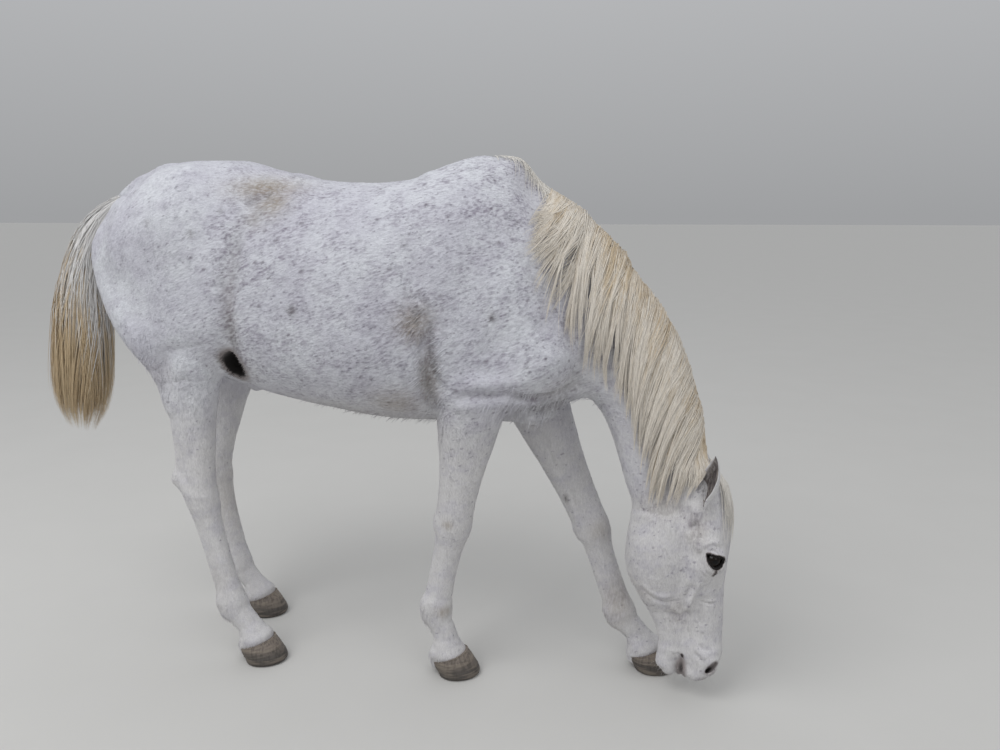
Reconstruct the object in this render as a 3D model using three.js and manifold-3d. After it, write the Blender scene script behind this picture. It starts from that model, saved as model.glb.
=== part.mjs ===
// A grazing horse, life size, standing on a level floor with its head down.
// Millimetres. +X towards the head, +Y towards the horse's left, +Z up, floor at Z = 0.
// The flesh is one smooth field of tapered muscles and bones, meshed part by part and parted with thin cuts.
import * as THREE from "three";
import { mergeVertices } from "three/addons/utils/BufferGeometryUtils.js";
import Module from "manifold-3d";

const wasm = await Module();
wasm.setup();

// ---------------------------------------------------------------- driving sizes
const GAP = 0.3; // clearance between parts that touch
const CROUP = 1508; // height of the croup
const ORIGIN = [118, 0, 0]; // moves the model so that its box stands centred on the origin
const RIGHT = -1;
const LEFT = 1;

// ---------------------------------------------------------------- small vector helpers
const add = (a, b) => [a[0] + b[0], a[1] + b[1], a[2] + b[2]];
const sub = (a, b) => [a[0] - b[0], a[1] - b[1], a[2] - b[2]];
const mul = (a, s) => [a[0] * s, a[1] * s, a[2] * s];
const dot = (a, b) => a[0] * b[0] + a[1] * b[1] + a[2] * b[2];
const cross = (a, b) => [a[1] * b[2] - a[2] * b[1], a[2] * b[0] - a[0] * b[2], a[0] * b[1] - a[1] * b[0]];
const norm = (a) => Math.hypot(a[0], a[1], a[2]);
const unit = (a) => mul(a, 1 / norm(a));
const mix = (a, b, t) => a + (b - a) * t;
const between = (a, b, t) => [mix(a[0], b[0], t), mix(a[1], b[1], t), mix(a[2], b[2], t)];
const clamp = (x, lo, hi) => Math.min(hi, Math.max(lo, x));

// ---------------------------------------------------------------- the field of the flesh
// How far a place lies from an elliptical section, by its offset d from the middle of the section. The section has
// a depth radius (in the plane across "side") and a width radius (along "side"), and rounds off beyond its plane.
// "egg" widens one edge of the section and narrows the other.
function offSection(d, ahead, side, depth, width, egg) {
  const across = unit(sub(side, mul(ahead, dot(side, ahead))));
  const front = cross(across, ahead);
  const cap = Math.min(depth, width);
  const u = dot(d, front);
  const v = dot(d, across) / (1 + egg * clamp(u / depth, -1, 1));
  const w = dot(d, ahead);
  const q = Math.hypot(u / depth, v / width, w / cap);
  const slope = Math.hypot(u / depth ** 2, v / width ** 2, w / cap ** 2);
  return slope > 1e-9 ? (q * (q - 1)) / slope : -cap;
}

// A tube follows a smooth curve through rows of [point, depth, width], in short links.
function tube(rows, blend, options = {}) {
  const { side = [0, 1, 0], carve = false, egg = 0 } = options;
  const step = 24;
  const flat = [];
  let chord = 0;
  rows.forEach(([point, depth, width], i) => {
    if (i > 0) chord += norm(sub(point, rows[i - 1][0]));
    flat.push([chord, ...point, depth, width]);
  });
  const at = profile(flat);
  const count = Math.max(1, Math.ceil(chord / step));
  const knots = [];
  for (let i = 0; i <= count; i++) {
    const row = at((chord * i) / count);
    knots.push({ point: row.slice(0, 3), depth: row[3], width: row[4] });
  }
  knots.forEach((knot, i) => {
    knot.ahead = unit(sub(knots[Math.min(i + 1, count)].point, knots[Math.max(i - 1, 0)].point));
    knot.onward = i < count ? sub(knots[i + 1].point, knot.point) : null;
  });
  const distance = (x, y, z) => {
    let nearest = Infinity;
    let found = null;
    for (let i = 0; i < count; i++) {
      const { point, onward } = knots[i];
      const [dx, dy, dz] = [x - point[0], y - point[1], z - point[2]];
      const share = clamp((dx * onward[0] + dy * onward[1] + dz * onward[2]) / dot(onward, onward), 0, 1);
      const d = [dx - share * onward[0], dy - share * onward[1], dz - share * onward[2]];
      const away = dot(d, d);
      if (away >= nearest) continue;
      nearest = away;
      found = { i, share, d };
    }
    const [p, q] = [knots[found.i], knots[found.i + 1]];
    const ahead = unit(between(p.ahead, q.ahead, found.share));
    const depth = mix(p.depth, q.depth, found.share);
    return offSection(found.d, ahead, side, depth, mix(p.width, q.width, found.share), egg);
  };
  const reach = Math.max(...rows.map(([, depth, width]) => Math.max(depth, width))) + blend + 60;
  const lo = [0, 1, 2].map((i) => Math.min(...knots.map((k) => k.point[i])) - reach);
  const hi = [0, 1, 2].map((i) => Math.max(...knots.map((k) => k.point[i])) + reach);
  return { distance, lo, hi, blend, carve };
}

// A muscle runs straight from a to b, and its section changes evenly.
const muscle = (a, b, ra, rb, blend = 25, options = {}) => tube([[a, ...ra], [b, ...rb]], blend, options);

// A smooth curve through [place, value...] rows: a monotone cubic of each value.
function profile(rows) {
  const n = rows.length;
  const width = rows[0].length - 1;
  const slopes = [];
  for (let c = 1; c <= width; c++) {
    const secant = [];
    for (let i = 0; i < n - 1; i++) secant.push((rows[i + 1][c] - rows[i][c]) / (rows[i + 1][0] - rows[i][0]));
    const m = [secant[0]];
    for (let i = 1; i < n - 1; i++) {
      m.push(secant[i - 1] * secant[i] <= 0 ? 0 : (2 * secant[i - 1] * secant[i]) / (secant[i - 1] + secant[i]));
    }
    m.push(secant[n - 2]);
    slopes.push(m);
  }
  return (place) => {
    const x = clamp(place, rows[0][0], rows[n - 1][0]);
    let i = 0;
    while (i < n - 2 && x > rows[i + 1][0]) i++;
    const h = rows[i + 1][0] - rows[i][0];
    const t = (x - rows[i][0]) / h;
    const out = [];
    for (let c = 1; c <= width; c++) {
      const [p, q] = [rows[i][c], rows[i + 1][c]];
      const [m, k] = [slopes[c - 1][i] * h, slopes[c - 1][i + 1] * h];
      out.push(p * (1 + 2 * t) * (1 - t) ** 2 + m * t * (1 - t) ** 2 + q * t * t * (3 - 2 * t) + k * t * t * (t - 1));
    }
    return out;
  };
}

// The trunk: sections across X, each with a top, a bottom, the level where it is widest and its half width there.
function trunk(rows, roundness, blend) {
  const at = profile(rows);
  const [first, last] = [rows[0][0], rows[rows.length - 1][0]];
  const endRadius = 60;
  const distance = (x, y, z) => {
    const [top, bottom, wide, half] = at(x);
    const over = x - clamp(x, first, last);
    const height = z > wide ? top - wide : wide - bottom;
    const [u, v, w] = [Math.abs(y) / half, Math.abs(z - wide) / height, Math.abs(over) / endRadius];
    const q = (u ** roundness + v ** roundness + w ** roundness) ** (1 / roundness);
    const r = Math.hypot(y, z - wide, over);
    return q > 1e-6 ? Math.min(r * (1 - 1 / q), 400) : -half;
  };
  const tops = rows.map((r) => r[1]);
  const bottoms = rows.map((r) => r[2]);
  const halves = rows.map((r) => r[4]);
  const reach = blend + 60;
  const lo = [first - endRadius - reach, -Math.max(...halves) - reach, Math.min(...bottoms) - reach];
  const hi = [last + endRadius + reach, Math.max(...halves) + reach, Math.max(...tops) + reach];
  return { distance, lo, hi, blend, carve: false };
}

// Two copies of a muscle, one on each side of the horse.
function pair(a, b, ra, rb, blend, options) {
  return [RIGHT, LEFT].map((s) => {
    const flip = (p) => [p[0], p[1] * s, p[2]];
    const side = options && options.side ? { side: flip(options.side) } : {};
    return muscle(flip(a), flip(b), ra, rb, blend, { ...options, ...side });
  });
}

const smoothMin = (a, b, k) => {
  const h = Math.max(k - Math.abs(a - b), 0) / k;
  return Math.min(a, b) - (h * h * k) / 4;
};

// The signed distance to the flesh: parts of one group melt together, and the groups only touch.
function fieldAt(groups, x, y, z) {
  let nearest = 400;
  for (const parts of groups) {
    let value = 400;
    for (const p of parts) {
      if (x < p.lo[0] || y < p.lo[1] || z < p.lo[2] || x > p.hi[0] || y > p.hi[1] || z > p.hi[2]) continue;
      const d = p.distance(x, y, z);
      value = p.carve ? -smoothMin(-value, d, p.blend) : smoothMin(value, d, p.blend);
    }
    nearest = Math.min(nearest, value);
  }
  return nearest;
}

// ---------------------------------------------------------------- anatomy
// Sections of the trunk from the buttocks to the breast: place, top, bottom, widest level, half width.
const TRUNK = [
  [-800, 1425, 1085, 1260, 95],
  [-760, 1462, 1010, 1245, 150],
  [-690, 1498, 935, 1220, 212],
  [-600, CROUP, 885, 1190, 250],
  [-490, 1507, 850, 1150, 258],
  [-370, 1480, 822, 1110, 264],
  [-240, 1452, 798, 1090, 275],
  [-60, 1439, 774, 1070, 284],
  [60, 1450, 768, 1060, 272],
  [150, 1470, 768, 1065, 248],
  [240, 1484, 768, 1075, 218],
  [330, 1455, 770, 1070, 185],
  [420, 1345, 792, 1040, 152],
  [490, 1180, 850, 1000, 105],
];

const NECK = [
  [[350, 0, 1135], 256, 182],
  [[426, 0, 1090], 246, 154],
  [[502, 0, 1065], 210, 134],
  [[570, 0, 1035], 182, 118],
  [[623, -2, 993], 160, 105],
  [[666, -5, 940], 147, 97],
  [[703, -9, 875], 134, 89],
  [[731, -13, 802], 127, 83],
  [[750, -17, 730], 120, 77],
  [[768, -21, 659], 117, 73],
  [[786, -25, 600], 114, 70],
];

const CREST = [
  [[330, 0, 1452], 36, 36],
  [[395, 0, 1398], 36, 34],
  [[440, 0, 1362], 34, 32],
  [[495, 0, 1322], 32, 30],
  [[548, 0, 1284], 28, 28],
  [[603, 0, 1232], 26, 26],
];

const FORE_LEGS = [
  {
    side: RIGHT,
    shoulder: [432, -130, 968],
    elbow: [250, -152, 870],
    knee: [176, -97, 472],
    fetlock: [118, -84, 200],
    coronet: [150, -80, 66],
  },
  {
    side: LEFT,
    shoulder: [465, 130, 952],
    elbow: [362, 142, 820],
    knee: [558, 94, 425],
    fetlock: [650, 82, 168],
    coronet: [722, 79, 66],
  },
];

const HIND_LEGS = [
  {
    side: RIGHT,
    stifle: [-535, -170, 985],
    hock: [-604, -142, 525],
    fetlock: [-520, -140, 172],
    coronet: [-451, -140, 66],
  },
  {
    side: LEFT,
    stifle: [-572, 170, 980],
    hock: [-730, 142, 520],
    fetlock: [-664, 140, 168],
    coronet: [-595, 140, 66],
  },
];

// A point a share of the way from a to b, moved backwards (towards the tail) square to that line.
function along(a, b, share, backwards = 0) {
  const rear = unit(cross([0, 1, 0], sub(b, a)));
  return add(between(a, b, share), mul(rear, backwards * Math.sign(-rear[0] || 1)));
}

function heelBulbs(fetlock, coronet) {
  const heel = add(along(fetlock, coronet, 1, 30), [0, 0, -8]);
  return [-15, 15].map((out) => muscle(add(heel, [0, out, 6]), add(heel, [0, out, -18]), [25, 24], [22, 22], 14));
}

function foreLeg({ side, shoulder, elbow, knee, fetlock, coronet }) {
  const out = (d) => [0, side * d, 0];
  const arm = (share, back = 0) => along(elbow, knee, share, back);
  const cannon = (share, back = 0) => along(knee, fetlock, share, back);
  const pastern = (share, back = 0) => along(fetlock, coronet, share, back);
  return [
    tube([[[225, side * 50, 1400], 105, 40], [[330, side * 100, 1200], 105, 62], [add(shoulder, out(6)), 84, 60]], 50), // scapula
    muscle(add(shoulder, out(4)), add(elbow, out(2)), [80, 54], [80, 52], 50), // upper arm
    tube([[[150, side * 125, 1140], 110, 60], [[200, side * 145, 1010], 105, 60], [add(elbow, [-20, 0, 25]), 80, 52]], 50),
    tube(
      [
        [arm(-0.1), 104, 62],
        [arm(0.05), 98, 60],
        [arm(0.28), 84, 54],
        [arm(0.52), 67, 46],
        [arm(0.75), 58, 40],
        [arm(0.9), 55, 42],
        [arm(1), 55, 45],
        [cannon(0.1), 50, 41],
        [cannon(0.22), 42, 33],
        [cannon(0.5), 38, 28],
        [cannon(0.8), 40, 29],
        [cannon(0.93), 46, 35],
        [fetlock, 49, 37],
        [pastern(0.3, 2), 40, 33],
        [pastern(0.6, -5), 36, 33],
        [pastern(0.85, -2), 45, 43],
        [coronet, 55, 51],
      ],
      12,
    ),
    muscle(arm(0.97, 38), arm(1.01, 38), [18, 24], [18, 24], 18), // bone behind the knee
    muscle(cannon(0.2, 27), cannon(0.88, 27), [15, 14], [16, 16], 12), // tendons
    muscle(cannon(0.96, 26), pastern(0.12, 30), [26, 32], [22, 26], 18), // sesamoids
    ...heelBulbs(fetlock, coronet),
  ];
}

function hindLeg({ side, stifle, hock, fetlock, coronet }) {
  const gaskin = (share, back = 0) => along(stifle, hock, share, back);
  const cannon = (share, back = 0) => along(hock, fetlock, share, back);
  const pastern = (share, back = 0) => along(fetlock, coronet, share, back);
  const point = add(hock, [-66, 0, 42]); // point of the hock
  return [
    muscle([-645, side * 132, 1290], add(stifle, [-22, side * 2, 50]), [165, 98], [112, 80], 60), // thigh
    tube(
      [
        [[-800, side * 76, 1330], 80, 60],
        [[-862, side * 88, 1240], 72, 68],
        [[-816, side * 110, 1110], 76, 76],
        [gaskin(0, 182), 66, 60],
        [gaskin(0.24, 112), 52, 46],
        [gaskin(0.42, 84), 36, 34],
      ],
      50,
    ), // buttock and hamstring
    muscle([-745, side * 115, 1230], [-690, side * 138, 1030], [112, 92], [95, 82], 70), // rear of the thigh
    tube(
      [
        [gaskin(-0.06, 4), 78, 70],
        [gaskin(0.1, 26), 84, 70],
        [gaskin(0.24, 32), 78, 60],
        [gaskin(0.38, 28), 70, 52],
        [gaskin(0.52, 22), 60, 45],
        [gaskin(0.66, 15), 54, 40],
        [gaskin(0.8, 10), 50, 37],
        [gaskin(0.92, 4), 50, 39],
        [hock, 54, 44],
        [cannon(0.1, 2), 52, 41],
        [cannon(0.24, 2), 42, 33],
        [cannon(0.5), 36, 29],
        [cannon(0.8), 38, 29],
        [cannon(0.94), 45, 35],
        [fetlock, 48, 37],
        [pastern(0.3, 2), 41, 33],
        [pastern(0.6, -4), 37, 33],
        [pastern(0.85, -2), 45, 42],
        [coronet, 54, 49],
      ],
      12,
    ),
    tube([[gaskin(0.4, 88), 34, 30], [gaskin(0.55, 82), 24, 20], [gaskin(0.8, 70), 19, 16], [point, 23, 21]], 30), // Achilles tendon
    muscle(add(hock, [-16, 0, 6]), point, [36, 30], [23, 22], 22), // heel bone
    muscle(cannon(0.06, 36), cannon(0.88, 27), [16, 15], [16, 16], 14), // tendons
    muscle(cannon(0.96, 26), pastern(0.12, 30), [26, 32], [22, 26], 18), // sesamoids
    ...heelBulbs(fetlock, coronet),
  ];
}

// The head hangs almost straight down. Its own places are [forward, out, down] from the poll.
const POLL = [915, -40, 640];
const inHead = ([forward, out, down]) => [POLL[0] + forward, POLL[1] + out, POLL[2] - down];

function headParts() {
  const part = (a, b, ra, rb, k, options) => muscle(inHead(a), inHead(b), ra, rb, k, options);
  const both = (a, b, ra, rb, k, options) =>
    [RIGHT, LEFT].map((s) => part([a[0], a[1] * s, a[2]], [b[0], b[1] * s, b[2]], ra, rb, k, options));
  const line = (rows, k, options) => tube(rows.map(([p, d, w]) => [inHead(p), d, w]), k, options);
  const lines = (rows, k, options) =>
    [RIGHT, LEFT].map((s) => line(rows.map(([p, d, w]) => [[p[0], p[1] * s, p[2]], d, w]), k, options));
  return [
    line(
      [
        [[-72, 0, -10], 60, 56],
        [[-54, 0, 40], 78, 66],
        [[-44, 0, 95], 80, 76],
        [[-42, 0, 150], 79, 86],
        [[-40, 0, 200], 74, 86],
        [[-36, 0, 250], 66, 74],
        [[-32, 0, 310], 58, 59],
        [[-28, 0, 390], 56, 49],
        [[-26, 0, 450], 54, 44],
        [[-28, 0, 500], 53, 46],
      ],
      30,
      { egg: -0.12 },
    ), // skull and nose
    line([[[-28, 0, 490], 52, 45], [[-34, 0, 530], 49, 48], [[-44, 0, 558], 28, 42]], 24), // muzzle and upper lip
    line(
      [
        [[-165, 0, 120], 74, 50],
        [[-163, 0, 185], 86, 62],
        [[-160, 0, 245], 90, 62],
        [[-146, 0, 310], 76, 52],
        [[-122, 0, 380], 60, 42],
        [[-112, 0, 440], 46, 36],
        [[-110, 0, 490], 36, 34],
      ],
      34,
    ), // lower jaw
    line([[[-116, 0, 512], 32, 33], [[-122, 0, 545], 33, 36], [[-116, 0, 560], 24, 34]], 20), // chin and lower lip
    ...lines([[[-132, 34, 130], 60, 42], [[-150, 40, 200], 72, 45], [[-148, 36, 265], 64, 40], [[-138, 26, 322], 46, 32]], 40), // cheek muscle
    ...lines([[[-40, 58, 138], 26, 24], [[-20, 72, 166], 22, 22], [[-8, 78, 188], 22, 21]], 30), // arch of the brow
    ...lines([[[-10, 78, 190], 25, 25], [[-6, 78, 208], 24, 24]], 20), // lids
    ...lines([[[-44, 62, 226], 20, 18], [[-66, 56, 280], 14, 12], [[-78, 46, 348], 11, 9]], 36), // facial crest
    ...lines([[[-8, 30, 492], 20, 16], [[-6, 38, 522], 25, 17], [[-24, 33, 554], 19, 15]], 20), // nostril wings
    ...both([-40, 24, 562], [-62, 22, 556], [20, 20], [20, 20], 16), // upper lip
  ];
}

const neck = tube(NECK, 60, { egg: 0.22 });

// The body and the head are two groups that share the neck, so that the head never melts into a foreleg.
const FLESH = [
  [
    trunk(TRUNK, 2.25, 50),
    ...pair([-560, 140, 1330], [-740, 118, 1290], [140, 92], [120, 86], 70), // croup
    tube([[[-730, 0, 1440], 52, 56], [[-810, 0, 1428], 42, 42], [[-872, 0, 1404], 28, 27]], 50), // root of the tail
    tube([[[110, 0, 1434], 30, 34], [[250, 0, 1472], 34, 36], [[325, 0, 1455], 34, 36]], 50), // withers
    tube(CREST, 50),
    neck,
    muscle([420, 0, 930], [492, 0, 935], [120, 120], [78, 92], 50), // breast
    ...pair([462, 60, 905], [400, 76, 835], [58, 56], [56, 56], 40), // breast muscles
    ...FORE_LEGS.flatMap(foreLeg),
    ...HIND_LEGS.flatMap(hindLeg),
  ],
  [neck, ...headParts()],
];

// ---------------------------------------------------------------- meshing the field
// Grid lines from the first place on, in stretches of [end, cell].
function lines(start, ...stretches) {
  const out = [start];
  let from = start;
  for (const [end, cell] of stretches) {
    const count = Math.max(1, Math.round((end - from) / cell));
    for (let i = 1; i <= count; i++) out.push(from + ((end - from) * i) / count);
    from = end;
  }
  return out;
}

// The twelve edges of a grid cell as pairs of corners, where corner 1 is one step along X, 2 along Y and 4 along Z.
const CELL_EDGES = [1, 2, 4].flatMap((bit) => [0, 1, 2, 3, 4, 5, 6, 7].filter((c) => !(c & bit)).map((c) => [c, c | bit]));
const edgeBetween = (c, d) => CELL_EDGES.findIndex(([p, q]) => p === Math.min(c, d) && q === Math.max(c, d));
const CELL_FACES = [
  [1, 2, 4],
  [2, 4, 1],
  [4, 1, 2],
].flatMap(([flat, b, c]) =>
  [0, flat].map((at) => {
    const corners = [at, at | b, at | b | c, at | c];
    return { corners, edges: corners.map((corner, i) => edgeBetween(corner, corners[(i + 1) % 4])) };
  }),
);

// The sheets of surface in one cell: for each crossed edge the number of its sheet, from the signs at the corners.
function sheetsOf(inside) {
  const sheet = CELL_EDGES.map(([c, d], i) => (inside[c] === inside[d] ? -1 : i));
  const join = (p, q) => {
    const [keep, drop] = [sheet[p], sheet[q]];
    for (let i = 0; i < 12; i++) if (sheet[i] === drop) sheet[i] = keep;
  };
  for (const { corners, edges } of CELL_FACES) {
    const crossed = edges.filter((e) => sheet[e] >= 0);
    if (crossed.length === 2) join(crossed[0], crossed[1]);
    if (crossed.length === 4) corners.forEach((c, i) => inside[c] && join(edges[i], edges[(i + 3) % 4]));
  }
  return sheet;
}

// Surface nets: one vertex for each sheet of surface in a cell, drawn onto the surface, and a quad across each
// crossed edge. The field is closed off at the walls of the grid, and "grow" moves the surface outwards.
function skinOf(groups, grid, grow = 0) {
  const [nx, ny, nz] = grid.map((g) => g.length);
  const lo = grid.map((g) => g[0]);
  const hi = grid.map((g) => g[g.length - 1]);
  const near = groups.map((parts) => parts.filter((p) => p.lo.every((v, i) => v < hi[i] && p.hi[i] > lo[i])));
  const value = new Float32Array(nx * ny * nz);
  const index = (i, j, k) => (k * ny + j) * nx + i;
  const place = (i, j, k) => [grid[0][i], grid[1][j], grid[2][k]];
  for (let k = 0; k < nz; k++)
    for (let j = 0; j < ny; j++)
      for (let i = 0; i < nx; i++) {
        const wall = i === 0 || j === 0 || k === 0 || i === nx - 1 || j === ny - 1 || k === nz - 1;
        value[index(i, j, k)] = wall ? 5 : fieldAt(near, ...place(i, j, k)) - grow;
      }
  const points = [];
  const reach = [];
  const vertices = new Map();
  for (let k = 0; k < nz - 1; k++)
    for (let j = 0; j < ny - 1; j++)
      for (let i = 0; i < nx - 1; i++) {
        const corners = [];
        for (let c = 0; c < 8; c++) corners.push([i + (c & 1), j + ((c >> 1) & 1), k + (c >> 2)]);
        const v = corners.map((c) => value[index(...c)]);
        const inside = v.map((x) => x < 0);
        if (inside.every((x) => x === inside[0])) continue;
        const sheet = sheetsOf(inside);
        const [p, q] = [place(i, j, k), place(i + 1, j + 1, k + 1)];
        const walled = i === 0 || j === 0 || k === 0 || i === nx - 2 || j === ny - 2 || k === nz - 2;
        const own = new Array(12).fill(-1);
        for (const label of new Set(sheet.filter((x) => x >= 0))) {
          const edges = sheet.flatMap((x, e) => (x === label ? [e] : []));
          const crossings = edges.map((e) => {
            const [a, b] = CELL_EDGES[e];
            return between(place(...corners[a]), place(...corners[b]), v[a] / (v[a] - v[b]));
          });
          for (const e of edges) own[e] = points.length;
          points.push(mul(crossings.reduce(add), 1 / crossings.length));
          reach.push(walled ? 0 : 0.4 * Math.min(q[0] - p[0], q[1] - p[1], q[2] - p[2]));
        }
        vertices.set(index(i, j, k), own);
      }
  points.forEach((p, at) => {
    for (let round = 0; round < 2 && reach[at] > 0; round++) {
      const f = fieldAt(near, ...p) - grow;
      const g = [0, 1, 2].map((a) => {
        const q = [...p];
        q[a] += 1;
        return fieldAt(near, ...q) - grow - f;
      });
      const size = dot(g, g);
      if (size < 0.05) return;
      const step = clamp(f / size, -reach[at], reach[at]);
      for (let a = 0; a < 3; a++) p[a] -= g[a] * step;
    }
  });
  const triangles = [];
  const axes = [
    [1, 2, 4],
    [2, 4, 1],
    [4, 1, 2],
  ];
  const stepOf = (bit) => [bit & 1, (bit >> 1) & 1, bit >> 2];
  for (let k = 0; k < nz - 1; k++)
    for (let j = 0; j < ny - 1; j++)
      for (let i = 0; i < nx - 1; i++) {
        const here = value[index(i, j, k)] < 0;
        for (const [bit, b, c] of axes) {
          const next = add([i, j, k], stepOf(bit));
          if (here === value[index(...next)] < 0) continue;
          // The four cells round this edge, each with the edge at another corner of the cell.
          const corner = (away) => {
            const cell = sub([i, j, k], stepOf(away));
            return vertices.get(index(...cell))[edgeBetween(away, away | bit)];
          };
          const ring = [corner(b | c), corner(c), corner(0), corner(b)];
          const four = here ? ring : ring.reverse();
          const long = norm(sub(points[four[0]], points[four[2]])) > norm(sub(points[four[1]], points[four[3]]));
          const [p, q, r, t] = long ? [four[1], four[2], four[3], four[0]] : four;
          triangles.push(p, q, r, p, r, t);
        }
      }
  return solid(meshOf(points, triangles));
}

function meshOf(points, triangles) {
  const geometry = new THREE.BufferGeometry();
  geometry.setAttribute("position", new THREE.Float32BufferAttribute(points.flat(), 3));
  geometry.setIndex(triangles);
  return geometry;
}

// ---------------------------------------------------------------- joining and cutting
function solid(geometry) {
  const bare = new THREE.BufferGeometry();
  bare.setAttribute("position", geometry.getAttribute("position"));
  if (geometry.index) bare.setIndex(geometry.index);
  const merged = mergeVertices(bare, 1e-4);
  return new wasm.Manifold(
    new wasm.Mesh({
      numProp: 3,
      vertProperties: Float32Array.from(merged.attributes.position.array),
      triVerts: Uint32Array.from(merged.index.array),
    }),
  );
}

function largest(shape) {
  return shape.decompose().reduce((best, s) => (s.volume() > best.volume() ? s : best));
}

// The same solid with its whole surface moved outwards.
function grown(shape, by) {
  const geometry = geometryOf(shape);
  const { position, normal } = geometry.attributes;
  for (let i = 0; i < position.count; i++) {
    const [x, y, z] = [position.getX(i), position.getY(i), position.getZ(i)];
    position.setXYZ(i, x + by * normal.getX(i), y + by * normal.getY(i), z + by * normal.getZ(i));
  }
  return solid(geometry);
}

function geometryOf(shape) {
  const made = shape.getMesh();
  const geometry = new THREE.BufferGeometry();
  const position = new Float32Array(made.numVert * 3);
  for (let i = 0; i < made.numVert; i++) {
    position.set(made.vertProperties.subarray(i * made.numProp, i * made.numProp + 3), i * 3);
  }
  geometry.setAttribute("position", new THREE.BufferAttribute(position, 3));
  geometry.setIndex(new THREE.BufferAttribute(made.triVerts, 1));
  geometry.computeVertexNormals();
  return geometry;
}

// ---------------------------------------------------------------- parting the flesh
// A plane through a point: the flesh is kept on the side that the normal points to, half a gap away from the plane.
const beyond = (shape, [point, normal]) => shape.trimByPlane(normal, dot(point, normal) + GAP / 2);
const short = (shape, [point, normal]) => beyond(shape, [point, mul(normal, -1)]);

const NECK_BASE = [[488, 0, 1137], unit([0.949, 0, 0.316])]; // from the withers to the breast
const THROAT = [[783, -20, 622], unit([0.525, 0, -0.851])]; // from the nape to behind the jaw

function ball(centre, [rx, ry, rz], grow = 0, across = 16) {
  const sphere = new THREE.SphereGeometry(1, across, across / 2);
  sphere.scale(rx + grow, ry + grow, rz + grow);
  sphere.translate(...centre);
  return solid(sphere);
}

function box(lo, hi) {
  const size = sub(hi, lo);
  const shape = new THREE.BoxGeometry(...size);
  shape.translate(...between(lo, hi, 0.5));
  return solid(shape);
}

// A leg is parted from the trunk by a dome over its root, with room for the whole limb below.
function legSpace(root, radii, foot, grow) {
  const column = new THREE.CylinderGeometry(1, 1, 1, 16);
  column.rotateX(Math.PI / 2);
  column.scale(radii[0] + grow, radii[1] + grow, root[2] - foot[2] + 30);
  column.translate(root[0], root[1], (root[2] + foot[2] - 30) / 2);
  const room = box([foot[0] - grow, foot[1] - grow, -50], [foot[3] + grow, foot[4] + grow, foot[2] + grow]);
  return ball(root, radii, grow).add(solid(column)).add(room);
}

// ---------------------------------------------------------------- locks of hair
// A seeded draw, so that every run gives the same locks.
function draws(seed) {
  let state = seed;
  return (lo, hi) => {
    state = (state * 1664525 + 1013904223) % 4294967296;
    return lo + ((hi - lo) * state) / 4294967296;
  };
}

// A closed body through rings of points, each ring one polygon of equal count; the last may be a single tip.
function loft(rings) {
  const n = rings[0].length;
  const points = rings.flat();
  const triangles = [];
  for (let i = 1; i < n - 1; i++) triangles.push(0, i + 1, i);
  for (let r = 1; r < rings.length; r++)
    for (let i = 0; i < n; i++) {
      const j = (i + 1) % n;
      const [a, b] = [(r - 1) * n + i, (r - 1) * n + j];
      if (rings[r].length === 1) triangles.push(a, b, r * n);
      else triangles.push(a, b, r * n + j, a, r * n + j, r * n + i);
    }
  const last = (rings.length - 1) * n;
  if (rings[rings.length - 1].length > 1) {
    for (let i = 1; i < n - 1; i++) triangles.push(last, last + i, last + i + 1);
  }
  return facingOut(points, triangles);
}

// A solid whose faces point out, whichever way round its triangles were listed.
function facingOut(points, triangles) {
  const shape = solid(meshOf(points, triangles));
  return shape.volume() > 0 ? shape : solid(meshOf(points, triangles.reverse()));
}

// A flat lock: a strip with a ridge along its outer side, on a path of { point, normal }. Its root has a share of the
// full width, it is widest at a third of its length, and it is drawn out to a tip.
function lock(path, width, thickness, root = 0.6) {
  const rings = path.map(({ point, normal }, i) => {
    if (i === path.length - 1) return [point];
    const t = i / (path.length - 1);
    const ahead = unit(sub(path[i + 1].point, point));
    const across = unit(cross(ahead, normal));
    const out = cross(across, ahead);
    const full = Math.min(1, mix(root, 1, 3 * t)) * Math.sqrt(1 - t ** 2.2);
    const [w, h] = [width * full, thickness * Math.max(full, 0.35)];
    return [add(point, mul(across, w)), add(point, mul(out, h)), sub(point, mul(across, w))];
  });
  return loft(rings);
}

function slopeAt(groups, p) {
  const f = fieldAt(groups, ...p);
  return unit([0, 1, 2].map((a) => fieldAt(groups, ...p.map((v, i) => (i === a ? v + 2 : v))) - f));
}

// A path that starts at a place and runs over the flesh the way of "wish(t)", lifted off it by "lift(t)".
function lieOn(groups, start, wish, length, count, lift) {
  const path = [];
  let point = start;
  for (let i = 0; i <= count; i++) {
    const t = i / count;
    for (let round = 0; round < 3; round++) {
      point = add(point, mul(slopeAt(groups, point), lift(t) - fieldAt(groups, ...point)));
    }
    const normal = slopeAt(groups, point);
    path.push({ point, normal });
    const way = wish(t);
    const along = unit(sub(way, mul(normal, dot(way, normal))));
    point = add(point, mul(along, length / count));
  }
  return path;
}

// A round rod of hair roots or flesh along points with radii [point, radius].
function rod(rows, sides) {
  const rings = rows.map(([point, radius], i) => {
    const [p, q] = [rows[Math.max(i - 1, 0)][0], rows[Math.min(i + 1, rows.length - 1)][0]];
    const ahead = unit(sub(q, p));
    const across = unit(cross([0, 1, 0], ahead));
    const ring = [];
    for (let k = 0; k < sides; k++) {
      const turn = (2 * Math.PI * k) / sides;
      const sideways = [0, radius * Math.sin(turn), 0];
      ring.push(add(add(point, mul(across, radius * Math.cos(turn))), sideways));
    }
    return ring;
  });
  return loft(rings);
}

// ---------------------------------------------------------------- hoof, ear and eye
const CORONET_SLOPE = 0.34; // the hair line rises from heel to toe
const coronetPlane = ([x, y, z]) => [[x - 4, y, z - 14], unit([-CORONET_SLOPE, 0, 1])];

const HOOF_SIDES = 16;

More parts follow.
